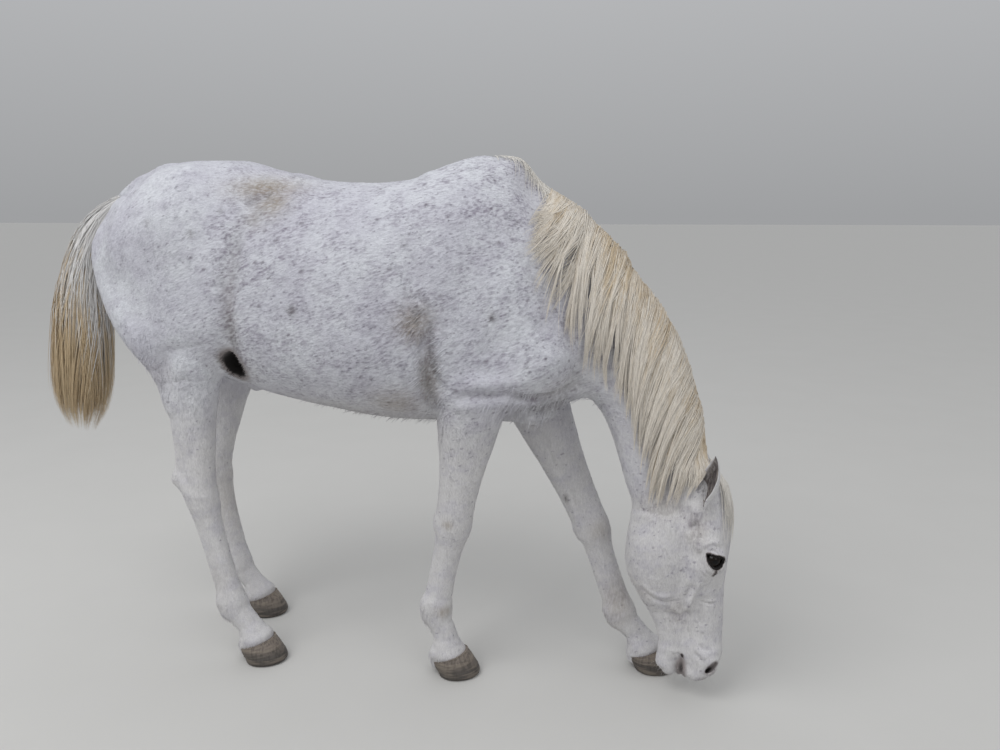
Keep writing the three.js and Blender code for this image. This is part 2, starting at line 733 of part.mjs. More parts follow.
function hoof(coronet) {
  const [point, normal] = coronetPlane(coronet);
  const levels = [
    [0, 31, 62, 57],
    [0.1, 31, 66, 61],
    [0.55, 17, 63, 58],
    [1, 3, 56, 52],
  ];
  const rings = levels.map(([t, forward, long, wide]) => {
    const ring = [];
    for (let k = 0; k < HOOF_SIDES; k++) {
      const turn = (-2 * Math.PI * k) / HOOF_SIDES;
      const heel = Math.cos(turn) < 0 ? 0.9 : 1;
      const x = coronet[0] + forward + long * heel * Math.cos(turn);
      const y = coronet[1] + wide * Math.sin(turn) * (1 - 0.08 * Math.cos(turn));
      const top = point[2] - GAP / 2 / normal[2] + CORONET_SLOPE * (x - point[0]);
      ring.push([x, y, t * top]);
    }
    return ring;
  });
  return loft(rings);
}

const EYEBALL = 21;
function eyeFrame(side) {
  const centre = inHead([-6, side * 80, 199]);
  const outward = unit([0.3, side * 0.95, -0.05]);
  const slant = [0.5, 0, -0.86]; // from the outer corner of the lids to the inner one
  const long = unit(sub(slant, mul(outward, dot(slant, outward))));
  return { centre, outward, long, up: cross(outward, long) };
}

// The opening between the lids, a pointed oval that runs out from the middle of the eye.
function lidOpening(side) {
  const { centre, outward, long, up } = eyeFrame(side);
  const [half, upper, lower] = [21, 15, 11];
  const flip = side === RIGHT ? 1 : -1;
  const shape = new THREE.Shape();
  shape.moveTo(-half, 0);
  shape.quadraticCurveTo(0, flip * 2 * upper, half, 0);
  shape.quadraticCurveTo(0, -flip * 2 * lower, -half, 0);
  const prism = new THREE.ExtrudeGeometry(shape, { depth: 60, bevelEnabled: false, curveSegments: 6 });
  const v = (p) => new THREE.Vector3(...p);
  prism.applyMatrix4(new THREE.Matrix4().makeBasis(v(long), v(up), v(outward)));
  prism.translate(...centre);
  return solid(prism);
}

// An ear is a leaf of skin rolled into a cup: one row of points on its back and one inside, from root to tip.
function ear(side) {
  const root = inHead([-34, side * 52, 52]);
  const axis = unit([0.03, side * 0.24, 1]);
  const mouth = unit([-0.45, side * 0.9, -0.2]); // the way the cup opens
  const opening = unit(sub(mouth, mul(axis, dot(mouth, axis))));
  const across = cross(axis, opening);
  const length = 142;
  const rows = [
    [0, 18, 1.0],
    [0.2, 22, 1.75],
    [0.42, 27, 1.5],
    [0.62, 24, 1.3],
    [0.8, 17, 1.15],
    [0.93, 9, 1.0],
    [1, 2.5, 0.8],
  ];
  const steps = 5;
  const rings = rows.map(([t, half, roll], i) => {
    const thick = mix(5, 1.6, t);
    const curl = 8 * t * t;
    const middle = add(add(root, mul(axis, length * t)), mul(opening, curl - 4));
    const at = (u, radius) => {
      const turn = u * roll;
      const wide = (radius * Math.sin(turn)) / Math.sin(Math.min(roll, Math.PI / 2));
      return add(add(middle, mul(across, wide)), mul(opening, -radius * 0.85 * Math.cos(turn)));
    };
    const ring = [];
    for (let k = 0; k <= steps; k++) ring.push(at((2 * k) / steps - 1, half));
    for (let k = steps; k >= 0; k--) ring.push(at(((2 * k) / steps - 1) * 0.97, Math.max(half - thick, half * 0.4)));
    return ring;
  });
  return stripLoft(rings, steps + 1);
}

// A loft whose rings fold back on themselves: the ends are closed by a strip between the two rows.
function stripLoft(rings, row) {
  const n = rings[0].length;
  const triangles = [];
  for (let r = 1; r < rings.length; r++)
    for (let i = 0; i < n; i++) {
      const j = (i + 1) % n;
      const [a, b, c, d] = [(r - 1) * n + i, (r - 1) * n + j, r * n + j, r * n + i];
      triangles.push(a, b, c, a, c, d);
    }
  for (let i = 0; i < row - 1; i++) {
    const [a, b, c, d] = [i, i + 1, n - 2 - i, n - 1 - i];
    triangles.push(a, c, b, a, d, c);
    const last = (rings.length - 1) * n;
    triangles.push(last + a, last + b, last + c, last + a, last + c, last + d);
  }
  return facingOut(rings.flat(), triangles);
}

// A nostril is a comma-shaped hollow that runs up and in from the front of the muzzle.
function nostril(side) {
  const hollow = new THREE.SphereGeometry(1, 10, 8);
  hollow.scale(9, 15, 24);
  const tilt = new THREE.Matrix4().makeRotationY(0.72);
  const turn = new THREE.Matrix4().makeRotationZ(side * 0.5);
  hollow.applyMatrix4(turn.multiply(tilt));
  hollow.translate(...inHead([0, side * 47, 527]));
  return solid(hollow);
}

// The line of the mouth: a thin slit round the lips that leaves the jaws joined inside.
function mouthLine() {
  const slit = box(inHead([-81.5, -80, 600]), inHead([-78.5, 80, 512]));
  const inside = box(inHead([-100, -31, 566]), inHead([-60, 31, 500]));
  return slit.subtract(inside);
}

// ---------------------------------------------------------------- mane, forelock and tail
// The roots of the mane along the crest, from the withers to the poll: share of the way, place, length of the hair
// and how far it leans towards the head as it falls.
const MANE = [
  [0, 425, 0, 1412, 190, -0.5],
  [0.12, 513, 0, 1357, 400, -0.15],
  [0.25, 600, -2, 1288, 460, 0],
  [0.4, 690, -8, 1190, 480, 0],
  [0.55, 775, -14, 1084, 450, -0.08],
  [0.7, 835, -22, 965, 410, -0.14],
  [0.85, 872, -30, 840, 360, -0.2],
  [1, 888, -38, 720, 280, -0.3],
];
const maneAt = profile(MANE);

// One lie of the mane: it leaves the crest over its right side and falls.
function manePath(share, reach, count, lift) {
  const [x, y, z, length, lean] = maneAt(share);
  const wish = (t) => [lean, -1.8 * (1 - t), -1];
  return lieOn(FLESH, [x, y + 10, z], wish, length * reach, count, lift);
}

// The mane: a bed of roots along the crest, and layers of locks that overlap from the withers to the poll.
function maneForm() {
  const random = draws(11);
  const bed = [];
  for (let i = 0; i <= 12; i++) {
    const [x, y, z] = maneAt(0.02 + (0.95 * i) / 12);
    const normal = slopeAt(FLESH, [x, y, z]);
    bed.push([add([x, y - 6, z], mul(normal, 5 - fieldAt(FLESH, x, y, z))), 15]);
  }
  const layers = [
    { count: 9, reach: 1, lift: 9 },
    { count: 7, reach: 0.72, lift: 24 },
  ];
  let shape = rod(bed, 6);
  for (const { count, reach, lift } of layers) {
    for (let i = 0; i < count; i++) {
      const share = 0.03 + (0.94 * (i + random(0.3, 0.7))) / count;
      const height = lift + (i % 2) * 8;
      const curl = random(0, 6);
      const path = manePath(share, reach * random(0.88, 1.05), 4, (t) => height + curl * t);
      shape = shape.add(lock(path, random(35, 41), 7));
    }
  }
  return shape;
}

// The forelock: a few thin locks from between the ears down the right side of the forehead.
function forelockForm() {
  const random = draws(5);
  const count = 5;
  let shape = ball(inHead([1, -8, -14]), [14, 27, 16], 0, 8);
  for (let i = 0; i < count; i++) {
    const out = mix(-30, 14, i / (count - 1));
    const wish = () => [0.1, 0.2 * Math.sign(out + 8), -1];
    const height = 4 + (i % 2) * 3;
    const path = lieOn([FLESH[1]], inHead([12, out, -14]), wish, random(170, 250), 4, () => height);
    shape = shape.add(lock(path, random(13, 16), 5));
  }
  return shape;
}

// The tail from the dock to its tip: share of the way, place and the radius of the hair.
const TAIL = [
  [0, -850, 0, 1412, 30],
  [0.06, -898, 0, 1396, 46],
  [0.13, -945, 0, 1366, 56],
  [0.22, -996, 0, 1306, 68],
  [0.32, -1030, 0, 1232, 80],
  [0.46, -1066, 0, 1120, 94],
  [0.62, -1086, 0, 980, 106],
  [0.78, -1104, 0, 840, 112],
  [0.92, -1118, 0, 720, 94],
  [1, -1124, 0, 646, 44],
];
const tailAt = profile(TAIL);

// The tail: the fleshy dock as a core, and locks that leave it all round and hang to the tip.
function tailForm() {
  const random = draws(21);
  const core = [];
  for (let i = 0; i <= 6; i++) {
    const [x, y, z] = tailAt((0.42 * i) / 6);
    core.push([[x, y, z], mix(28, 15, i / 6)]);
  }
  const layers = [
    { count: 10, reach: 0.9, from: [0.02, 0.24] },
    { count: 3, reach: 0.45, from: [0.15, 0.36] },
  ];
  const steps = 4;
  let shape = rod(core, 6);
  for (const { count, reach, from } of layers) {
    for (let i = 0; i < count; i++) {
      const turn = (2 * Math.PI * (i + random(0, 0.3))) / count;
      const [first, last] = [mix(...from, ((i * 5) % count) / count), random(0.92, 1)];
      const tier = reach - 0.16 * (i % 2);
      const path = [];
      for (let k = 0; k <= steps; k++) {
        const share = mix(first, last, k / steps);
        const [x, y, z, radius] = tailAt(share);
        const [ax, ay, az] = tailAt(share + 0.02);
        const [bx, by, bz] = tailAt(share - 0.02);
        const rear = unit(cross(unit([ax - bx, ay - by, az - bz]), [0, 1, 0]));
        const angle = turn + 0.2 * Math.sin((4 * k) / steps);
        const normal = add(mul(rear, Math.cos(angle)), [0, 0.75 * Math.sin(angle), 0]);
        const spread = mix(0.1, 1, Math.min(1, (2.6 * k) / steps));
        path.push({ point: add([x, y, z], mul(normal, radius * tier * spread)), normal: unit(normal) });
      }
      shape = shape.add(lock(path, random(38, 44), 9, 0.4));
    }
  }
  return shape;
}

// ---------------------------------------------------------------- the horse
const horse = new THREE.Group();
horse.position.set(...ORIGIN);
const look = (color, roughness) => new THREE.MeshStandardMaterial({ color, roughness, metalness: 0 });
const coat = look(0xd8d5d2, 0.9);
const hair = look(0xd9cba8, 0.8);
const horn = look(0x6f675f, 0.6);
const wet = look(0x16110e, 0.15);

// Places a node and gives its solid back, so that what grows from it can be cut clear of it.
function place(name, shape, material) {
  const whole = largest(shape);
  const mesh = new THREE.Mesh(geometryOf(whole), material);
  mesh.name = name;
  horse.add(mesh);
  return whole;
}

const TORSO_GRID = [lines(-990, [-800, 48], [640, 68]), lines(-340, [340, 57]), lines(690, [900, 46], [1560, 60])];
const NECK_GRID = [lines(330, [700, 41], [960, 34]), lines(-270, [-150, 44], [120, 32], [240, 44]), lines(470, [760, 32], [1500, 42])];
const HEAD_GRID = [
  lines(610, [840, 24], [880, 19], [940, 14], [985, 17]),
  lines(-170, [-90, 15], [10, 22], [90, 15]),
  lines(30, [180, 16], [380, 25], [410, 17], [475, 14], [520, 19], [760, 26]),
];

const legs = [];
for (const leg of FORE_LEGS) {
  const { side, elbow, coronet } = leg;
  const name = side === RIGHT ? "right" : "left";
  const root = [mix(elbow[0], leg.knee[0], 0.05), elbow[1] - side * 2, elbow[2] - 30];
  const inner = side === RIGHT ? [-260, -8] : [8, 260];
  const foot = [side === RIGHT ? -10 : 250, inner[0], 742, side === RIGHT ? 420 : 900, inner[1]];
  const space = (grow) => legSpace(root, [128, 100, 84], foot, grow);
  const knee = leg.knee[2];
  const grid = [
    lines(Math.min(root[0] - 150, leg.fetlock[0] - 110), [Math.max(root[0] + 150, coronet[0] + 110), 26]),
    side === RIGHT ? lines(-290, [-10, 23]) : lines(5, [285, 23]),
    lines(10, [240, 27], [knee - 90, 48], [knee + 70, 30], [960, 46]),
  ];
  legs.push({ name: "fore_leg_" + name, hoof: "hoof_fore_" + name, coronet, space, grid });
}
for (const leg of HIND_LEGS) {
  const { side, stifle, coronet } = leg;
  const name = side === RIGHT ? "right" : "left";
  const root = [stifle[0] - 62, stifle[1] - side * 2, stifle[2] - 40];
  const inner = side === RIGHT ? [-300, -8] : [8, 300];
  const foot = [stifle[0] - 330, inner[0], 792, stifle[0] + 220, inner[1]];
  const space = (grow) => legSpace(root, [172, 132, 150], foot, grow);
  const hock = leg.hock[2];
  const grid = [
    lines(root[0] - 210, [Math.max(root[0] + 210, coronet[0] + 110), 29]),
    side === RIGHT ? lines(-330, [-10, 25]) : lines(10, [330, 25]),
    lines(10, [240, 27], [hock - 90, 48], [hock + 90, 33], [1150, 54]),
  ];
  legs.push({ name: "hind_leg_" + name, hoof: "hoof_hind_" + name, coronet, space, grid });
}

let body = short(skinOf(FLESH, TORSO_GRID), NECK_BASE);
for (const { space } of legs) body = body.subtract(space(GAP / 2));
const torso = place("torso", body, coat);

for (const { name, hoof: hoofName, coronet, space, grid } of legs) {
  const limb = skinOf([FLESH[0]], grid).intersect(space(-GAP / 2));
  place(name, beyond(limb, coronetPlane(coronet)), coat);
  place(hoofName, hoof(coronet), horn);
}

const nape = place("neck", short(beyond(skinOf(FLESH, NECK_GRID), NECK_BASE), THROAT), coat);

let face = beyond(skinOf([FLESH[1]], HEAD_GRID), THROAT);
for (const side of [RIGHT, LEFT]) {
  const { centre } = eyeFrame(side);
  const socket = ball(centre, [EYEBALL, EYEBALL, EYEBALL], GAP, 12);
  face = face.subtract(socket).subtract(lidOpening(side)).subtract(nostril(side));
  place(side === RIGHT ? "eye_right" : "eye_left", ball(centre, [EYEBALL, EYEBALL, EYEBALL], 0, 12), wet);
}
const head = place("head", face.subtract(mouthLine()), coat);

// The room that a shape takes up with its clearance. In sharp hollows the moved surface can fall short of the shape,
// so copies shifted by half the gap back it up.
const roomFor = (shapes) =>
  shapes.map((shape) => {
    const shifts = [
      [-GAP / 2, 0, 0],
      [GAP / 2, 0, 0],
      [0, -GAP / 2, 0],
      [0, 0, GAP / 2],
    ];
    return shifts.reduce((room, shift) => room.add(shape.translate(shift)), grown(shape, GAP));
  });
const clearOf = (shape, rooms) => rooms.reduce((left, room) => left.subtract(room), shape);
const [torsoRoom, neckRoom, headRoom] = roomFor([torso, nape, head]);
const ears = [RIGHT, LEFT].map((side) =>
  place(side === RIGHT ? "ear_right" : "ear_left", clearOf(ear(side), [headRoom, neckRoom]), coat),
);
const earRooms = roomFor(ears);
const mane = place("mane", clearOf(maneForm(), [torsoRoom, neckRoom, headRoom, ...earRooms]), hair);
place("forelock", clearOf(forelockForm(), [headRoom, neckRoom, ...roomFor([mane]), ...earRooms]), hair);
place("tail", clearOf(tailForm(), [torsoRoom]), hair);

export default horse;
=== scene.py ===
"""A grazing grey horse, life size: one skin with short fur, locks of long hair, eyes and hooves.

Places and sizes of the body are millimetres in the part's modelling frame: +X towards the head, +Y towards
the horse's left, +Z up, floor at Z = 0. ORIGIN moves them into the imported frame, and Blender gets metres.
"""

import functools
import math

import bmesh
import bpy
import numpy as np
from mathutils import Matrix, Vector


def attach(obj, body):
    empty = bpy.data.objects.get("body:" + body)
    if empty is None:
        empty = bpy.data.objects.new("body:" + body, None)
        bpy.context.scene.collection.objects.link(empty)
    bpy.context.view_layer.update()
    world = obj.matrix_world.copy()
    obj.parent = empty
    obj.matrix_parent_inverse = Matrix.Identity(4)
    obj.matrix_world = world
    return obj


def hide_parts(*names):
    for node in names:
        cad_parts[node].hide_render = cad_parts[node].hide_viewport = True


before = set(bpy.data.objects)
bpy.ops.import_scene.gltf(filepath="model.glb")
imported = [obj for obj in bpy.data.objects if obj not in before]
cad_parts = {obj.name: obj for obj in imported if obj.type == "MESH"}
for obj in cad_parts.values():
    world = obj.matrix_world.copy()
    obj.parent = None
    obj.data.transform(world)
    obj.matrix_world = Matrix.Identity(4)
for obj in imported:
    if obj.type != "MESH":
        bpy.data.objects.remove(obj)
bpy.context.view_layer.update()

ORIGIN = np.array([118.0, 0.0, 0.0])
METRE = 0.001
COAT = 1.5  # the skin lies this deep under the outer surface
RIGHT = -1
LEFT = 1
SIDES = (RIGHT, LEFT)
SIDEWAYS = np.array([0.0, 1.0, 0.0])
FAR = 400.0  # distances from the flesh are not followed further than this
MARGIN = 60  # the box of a piece of flesh reaches this far past it


# ---------------------------------------------------------------- small helpers
def unit(a):
    """Rows of length 1."""
    a = np.asarray(a, float)
    return a / np.maximum(np.linalg.norm(a, axis=-1, keepdims=True), 1e-9)


def dots(a, b):
    return np.einsum("...i,...i->...", a, b)


def mix(a, b, t):
    return a + (b - a) * t


def ramp(x, low, high):
    """0 up to low, 1 from high on, smooth between; low may be the larger one."""
    t = np.clip((np.asarray(x, float) - low) / (high - low), 0, 1)
    return t * t * (3 - 2 * t)


def smooth_min(a, b, k):
    h = np.maximum(k - np.abs(a - b), 0) / k
    return np.minimum(a, b) - h * h * k / 4


def profile(rows):
    """A smooth curve through [place, value...] rows: a monotone cubic of each value."""
    rows = np.array(rows, float)
    place, value = rows[:, 0], rows[:, 1:]
    step = np.diff(place)
    secant = np.diff(value, axis=0) / step[:, None]
    slope = np.zeros_like(value)
    slope[0], slope[-1] = secant[0], secant[-1]
    before, after = secant[:-1], secant[1:]
    same = before * after > 0
    slope[1:-1] = np.where(same, 2 * before * after / np.where(same, before + after, 1), 0)

    def at(x):
        x = np.clip(np.asarray(x, float), place[0], place[-1])
        i = np.clip(np.searchsorted(place, x, side="right") - 1, 0, len(place) - 2)
        h = step[i][..., None]
        t = ((x - place[i]) / step[i])[..., None]
        p, q, m, k = value[i], value[i + 1], slope[i] * h, slope[i + 1] * h
        start = p * (1 + 2 * t) * (1 - t) ** 2 + m * t * (1 - t) ** 2
        return start + q * t * t * (3 - 2 * t) + k * t * t * (t - 1)

    return at


# ---------------------------------------------------------------- the field of the flesh
class Flesh:
    """A signed distance, the box it matters in, and how softly it melts into the rest (or is carved out)."""

    def __init__(self, distance, low, high, blend, carve=False):
        self.distance = distance
        self.low = np.asarray(low, float)
        self.high = np.asarray(high, float)
        self.blend = blend
        self.carve = carve


LINK_LENGTH = 24


def tube(rows, blend, egg=0.0):
    """A smooth curve through rows of (point, depth radius, width radius); egg widens its rear."""
    points = np.array([r[0] for r in rows], float)
    chord = np.concatenate([[0], np.cumsum(np.linalg.norm(np.diff(points, axis=0), axis=1))])
    at = profile(np.column_stack([chord, points, [r[1:] for r in rows]]))
    count = max(1, math.ceil(chord[-1] / LINK_LENGTH))
    knots = at(chord[-1] * np.arange(count + 1) / count)
    spine, depths, widths = knots[:, :3], knots[:, 3], knots[:, 4]
    place = np.arange(count + 1)
    ahead = unit(spine[np.minimum(place + 1, count)] - spine[np.maximum(place - 1, 0)])

    def distance(p):
        nearest = np.full(len(p), np.inf)
        link = np.zeros(len(p), int)
        share = np.zeros(len(p))
        for i in range(count):
            onward = spine[i + 1] - spine[i]
            d = p - spine[i]
            s = np.clip(d @ onward / (onward @ onward), 0, 1)
            rest = d - s[:, None] * onward
            away = dots(rest, rest)
            closer = away < nearest
            nearest[closer] = away[closer]
            link[closer] = i
            share[closer] = s[closer]
        t = share[:, None]
        d = p - mix(spine[link], spine[link + 1], t)
        forward = unit(mix(ahead[link], ahead[link + 1], t))
        depth = mix(depths[link], depths[link + 1], share)
        width = mix(widths[link], widths[link + 1], share)
        across = unit(SIDEWAYS - forward * (forward @ SIDEWAYS)[:, None])
        rear = np.cross(across, forward)
        u = dots(d, rear)
        v = dots(d, across) / (1 + egg * np.clip(u / depth, -1, 1))
        w = dots(d, forward)
        cap = np.minimum(depth, width)
        q = np.sqrt((u / depth) ** 2 + (v / width) ** 2 + (w / cap) ** 2)
        slope = np.sqrt((u / depth**2) ** 2 + (v / width**2) ** 2 + (w / cap**2) ** 2)
        return np.where(slope > 1e-9, q * (q - 1) / np.maximum(slope, 1e-9), -cap)

    reach = max(max(r[1:]) for r in rows) + blend + MARGIN
    return Flesh(distance, spine.min(0) - reach, spine.max(0) + reach, blend)


def muscle(a, b, ra, rb, blend):
    return tube([[a, *ra], [b, *rb]], blend)


def trunk(rows, roundness, blend):
    """Sections across X: top, bottom, the level where it is widest, and the half width there."""
    at = profile(rows)
    first, last, end_radius = rows[0][0], rows[-1][0], 60

    def distance(p):
        x, y, z = p.T
        top, bottom, wide, half = at(x).T
        over = x - np.clip(x, first, last)
        height = np.where(z > wide, top - wide, wide - bottom)
        u, v, w = np.abs(y) / half, np.abs(z - wide) / height, np.abs(over) / end_radius
        q = (u**roundness + v**roundness + w**roundness) ** (1 / roundness)
        r = np.sqrt(y**2 + (z - wide) ** 2 + over**2)
        return np.where(q > 1e-6, np.minimum(r * (1 - 1 / np.maximum(q, 1e-6)), FAR), -half)

    _, tops, bottoms, _, halves = np.array(rows, float).T
    reach = blend + MARGIN
    low = [first - end_radius - reach, -halves.max() - reach, bottoms.min() - reach]
    high = [last + end_radius + reach, halves.max() + reach, tops.max() + reach]
    return Flesh(distance, low, high, blend)


def ellipsoid(centre, radii, axes, blend, carve=False):
    """Axes are three rows: the directions of the three radii."""
    axes = np.array(axes, float)
    radii = np.array(radii, float)

    def distance(p):
        d = (p - centre) @ axes.T
        q = np.linalg.norm(d / radii, axis=1)
        slope = np.linalg.norm(d / radii**2, axis=1)
        return np.where(slope > 1e-9, q * (q - 1) / np.maximum(slope, 1e-9), -radii.min())

    reach = radii.max() + blend + 20
    return Flesh(distance, np.array(centre) - reach, np.array(centre) + reach, blend, carve)


def pair(a, b, ra, rb, blend):
    """Two copies of a muscle, one on each side of the horse."""
    return [muscle(np.array(a) * [1, side, 1], np.array(b) * [1, side, 1], ra, rb, blend) for side in SIDES]


def field(groups, points):
    """Signed distance to the flesh: parts of one group melt together, and the groups only touch."""
    nearest = np.full(len(points), FAR)
    for parts in groups:
        value = np.full(len(points), FAR)
        for part in parts:
            here = np.nonzero(np.all((points >= part.low) & (points <= part.high), axis=1))[0]
            if len(here) == 0:
                continue
            d = part.distance(points[here])
            old = value[here]
            value[here] = -smooth_min(-old, d, part.blend) if part.carve else smooth_min(old, d, part.blend)
        nearest = np.minimum(nearest, value)
    return nearest


def slope_at(groups, points, step=2.0):
    """The way out of the flesh at each point."""
    here = field(groups, points)
    moved = [field(groups, points + step * axis) - here for axis in np.eye(3)]
    return unit(np.stack(moved, axis=1))


# ---------------------------------------------------------------- anatomy: the same sizes as the solids
CROUP = 1508
TRUNK = [
    [-800, 1425, 1085, 1260, 95],
    [-760, 1462, 1010, 1245, 150],
    [-690, 1498, 935, 1220, 212],
    [-600, CROUP, 885, 1190, 250],
    [-490, 1507, 850, 1150, 258],
    [-370, 1480, 822, 1110, 264],
    [-240, 1452, 798, 1090, 275],
    [-60, 1439, 774, 1070, 284],
    [60, 1450, 768, 1060, 272],
    [150, 1470, 768, 1065, 248],
    [240, 1484, 768, 1075, 218],
    [330, 1455, 770, 1070, 185],
    [420, 1345, 792, 1040, 152],
    [490, 1180, 850, 1000, 105],
]
NECK = [
    [[350, 0, 1135], 256, 182],
    [[426, 0, 1090], 246, 154],
    [[502, 0, 1065], 210, 134],
    [[570, 0, 1035], 182, 118],
    [[623, -2, 993], 160, 105],
    [[666, -5, 940], 147, 97],
    [[703, -9, 875], 134, 89],
    [[731, -13, 802], 127, 83],
    [[750, -17, 730], 120, 77],
    [[768, -21, 659], 117, 73],
    [[786, -25, 600], 114, 70],
]
CREST = [
    [[330, 0, 1452], 36, 36],
    [[395, 0, 1398], 36, 34],
    [[440, 0, 1362], 34, 32],
    [[495, 0, 1322], 32, 30],
    [[548, 0, 1284], 28, 28],
    [[603, 0, 1232], 26, 26],
]
LEGS = {
    "fore_leg_right": {
        "side": RIGHT,
        "shoulder": [432, -130, 968],
        "elbow": [250, -152, 870],
        "knee": [176, -97, 472],
        "fetlock": [118, -84, 200],
        "coronet": [150, -80, 66],
    },
    "fore_leg_left": {
        "side": LEFT,
        "shoulder": [465, 130, 952],
        "elbow": [362, 142, 820],
        "knee": [558, 94, 425],
        "fetlock": [650, 82, 168],
        "coronet": [722, 79, 66],
    },
    "hind_leg_right": {
        "side": RIGHT,
        "stifle": [-535, -170, 985],
        "hock": [-604, -142, 525],
        "fetlock": [-520, -140, 172],
        "coronet": [-451, -140, 66],
    },
    "hind_leg_left": {
        "side": LEFT,
        "stifle": [-572, 170, 980],
        "hock": [-730, 142, 520],
        "fetlock": [-664, 140, 168],
        "coronet": [-595, 140, 66],
    },
}


def along(a, b, share, backwards=0):
    """A point a share of the way from a to b, moved backwards (towards the tail) square to that line."""
    a, b = np.array(a, float), np.array(b, float)
    rear = unit(np.cross([0, 1, 0], b - a))
    return mix(a, b, share) + rear * backwards * (np.sign(-rear[0]) or 1)


def heel_bulbs(fetlock, coronet):
    heel = along(fetlock, coronet, 1, 30) + [0, 0, -8]
    return [muscle(heel + [0, out, 6], heel + [0, out, -18], [25, 24], [22, 22], 14) for out in (-15, 15)]


def fore_leg(leg):
    side, knee, fetlock, coronet = leg["side"], leg["knee"], leg["fetlock"], leg["coronet"]
    shoulder, elbow = np.array(leg["shoulder"], float), np.array(leg["elbow"], float)
    arm = functools.partial(along, elbow, knee)
    cannon = functools.partial(along, knee, fetlock)
    pastern = functools.partial(along, fetlock, coronet)
    limb = [
        [arm(-0.1), 104, 62],
        [arm(0.05), 98, 60],
        [arm(0.28), 84, 54],
        [arm(0.52), 67, 46],
        [arm(0.75), 58, 40],
        [arm(0.9), 55, 42],
        [arm(1), 55, 45],
        [cannon(0.1), 50, 41],
        [cannon(0.22), 42, 33],
        [cannon(0.5), 38, 28],
        [cannon(0.8), 40, 29],
        [cannon(0.93), 46, 35],
        [fetlock, 49, 37],
        [pastern(0.3, 2), 40, 33],
        [pastern(0.6, -5), 36, 33],
        [pastern(0.85, -2), 45, 43],
        [coronet, 55, 51],
    ]
    scapula = [
        [[225, side * 50, 1400], 105, 40],
        [[330, side * 100, 1200], 105, 62],
        [shoulder + [0, side * 6, 0], 84, 60],
    ]
    triceps = [
        [[150, side * 125, 1140], 110, 60],
        [[200, side * 145, 1010], 105, 60],
        [elbow + [-20, 0, 25], 80, 52],
    ]
    return [
        tube(scapula, 50),
        muscle(shoulder + [0, side * 4, 0], elbow + [0, side * 2, 0], [80, 54], [80, 52], 50),
        tube(triceps, 50),
        tube(limb, 12),
        muscle(arm(0.97, 38), arm(1.01, 38), [18, 24], [18, 24], 18),
        muscle(cannon(0.2, 27), cannon(0.88, 27), [15, 14], [16, 16], 12),
        muscle(cannon(0.96, 26), pastern(0.12, 30), [26, 32], [22, 26], 18),
        *heel_bulbs(fetlock, coronet),
    ]


def hind_leg(leg):
    side, stifle, hock = leg["side"], np.array(leg["stifle"], float), np.array(leg["hock"], float)
    fetlock, coronet = leg["fetlock"], leg["coronet"]
    gaskin = functools.partial(along, stifle, hock)
    cannon = functools.partial(along, hock, fetlock)
    pastern = functools.partial(along, fetlock, coronet)
    point = hock + [-66, 0, 42]
    hamstring = [
        [[-800, side * 76, 1330], 80, 60],
        [[-862, side * 88, 1240], 72, 68],
        [[-816, side * 110, 1110], 76, 76],
        [gaskin(0, 182), 66, 60],
        [gaskin(0.24, 112), 52, 46],
        [gaskin(0.42, 84), 36, 34],
    ]
    limb = [
        [gaskin(-0.06, 4), 78, 70],
        [gaskin(0.1, 26), 84, 70],
        [gaskin(0.24, 32), 78, 60],
        [gaskin(0.38, 28), 70, 52],
        [gaskin(0.52, 22), 60, 45],
        [gaskin(0.66, 15), 54, 40],
        [gaskin(0.8, 10), 50, 37],
        [gaskin(0.92, 4), 50, 39],
        [hock, 54, 44],
        [cannon(0.1, 2), 52, 41],
        [cannon(0.24, 2), 42, 33],
        [cannon(0.5), 36, 29],
        [cannon(0.8), 38, 29],
        [cannon(0.94), 45, 35],
        [fetlock, 48, 37],
        [pastern(0.3, 2), 41, 33],
        [pastern(0.6, -4), 37, 33],
        [pastern(0.85, -2), 45, 42],
        [coronet, 54, 49],
    ]
    achilles = [
        [gaskin(0.4, 88), 34, 30],
        [gaskin(0.55, 82), 24, 20],
        [gaskin(0.8, 70), 19, 16],
        [point, 23, 21],
    ]
    return [
        muscle([-645, side * 132, 1290], stifle + [-22, side * 2, 50], [165, 98], [112, 80], 60),
        tube(hamstring, 50),
        muscle([-745, side * 115, 1230], [-690, side * 138, 1030], [112, 92], [95, 82], 70),
        tube(limb, 12),
        tube(achilles, 30),
        muscle(hock + [-16, 0, 6], point, [36, 30], [23, 22], 22),
        muscle(cannon(0.06, 36), cannon(0.88, 27), [16, 15], [16, 16], 14),
        muscle(cannon(0.96, 26), pastern(0.12, 30), [26, 32], [22, 26], 18),
        *heel_bulbs(fetlock, coronet),
    ]


# The head hangs almost straight down. Its own places are [forward, out, down] from the poll.
POLL = np.array([915.0, -40.0, 640.0])


def in_head(place):
    forward, out, down = place
    return POLL + np.array([forward, out, -down])


def head_line(rows, blend, side=LEFT, egg=0.0):
    return tube([[in_head([p[0], p[1] * side, p[2]]), d, w] for p, d, w in rows], blend, egg)


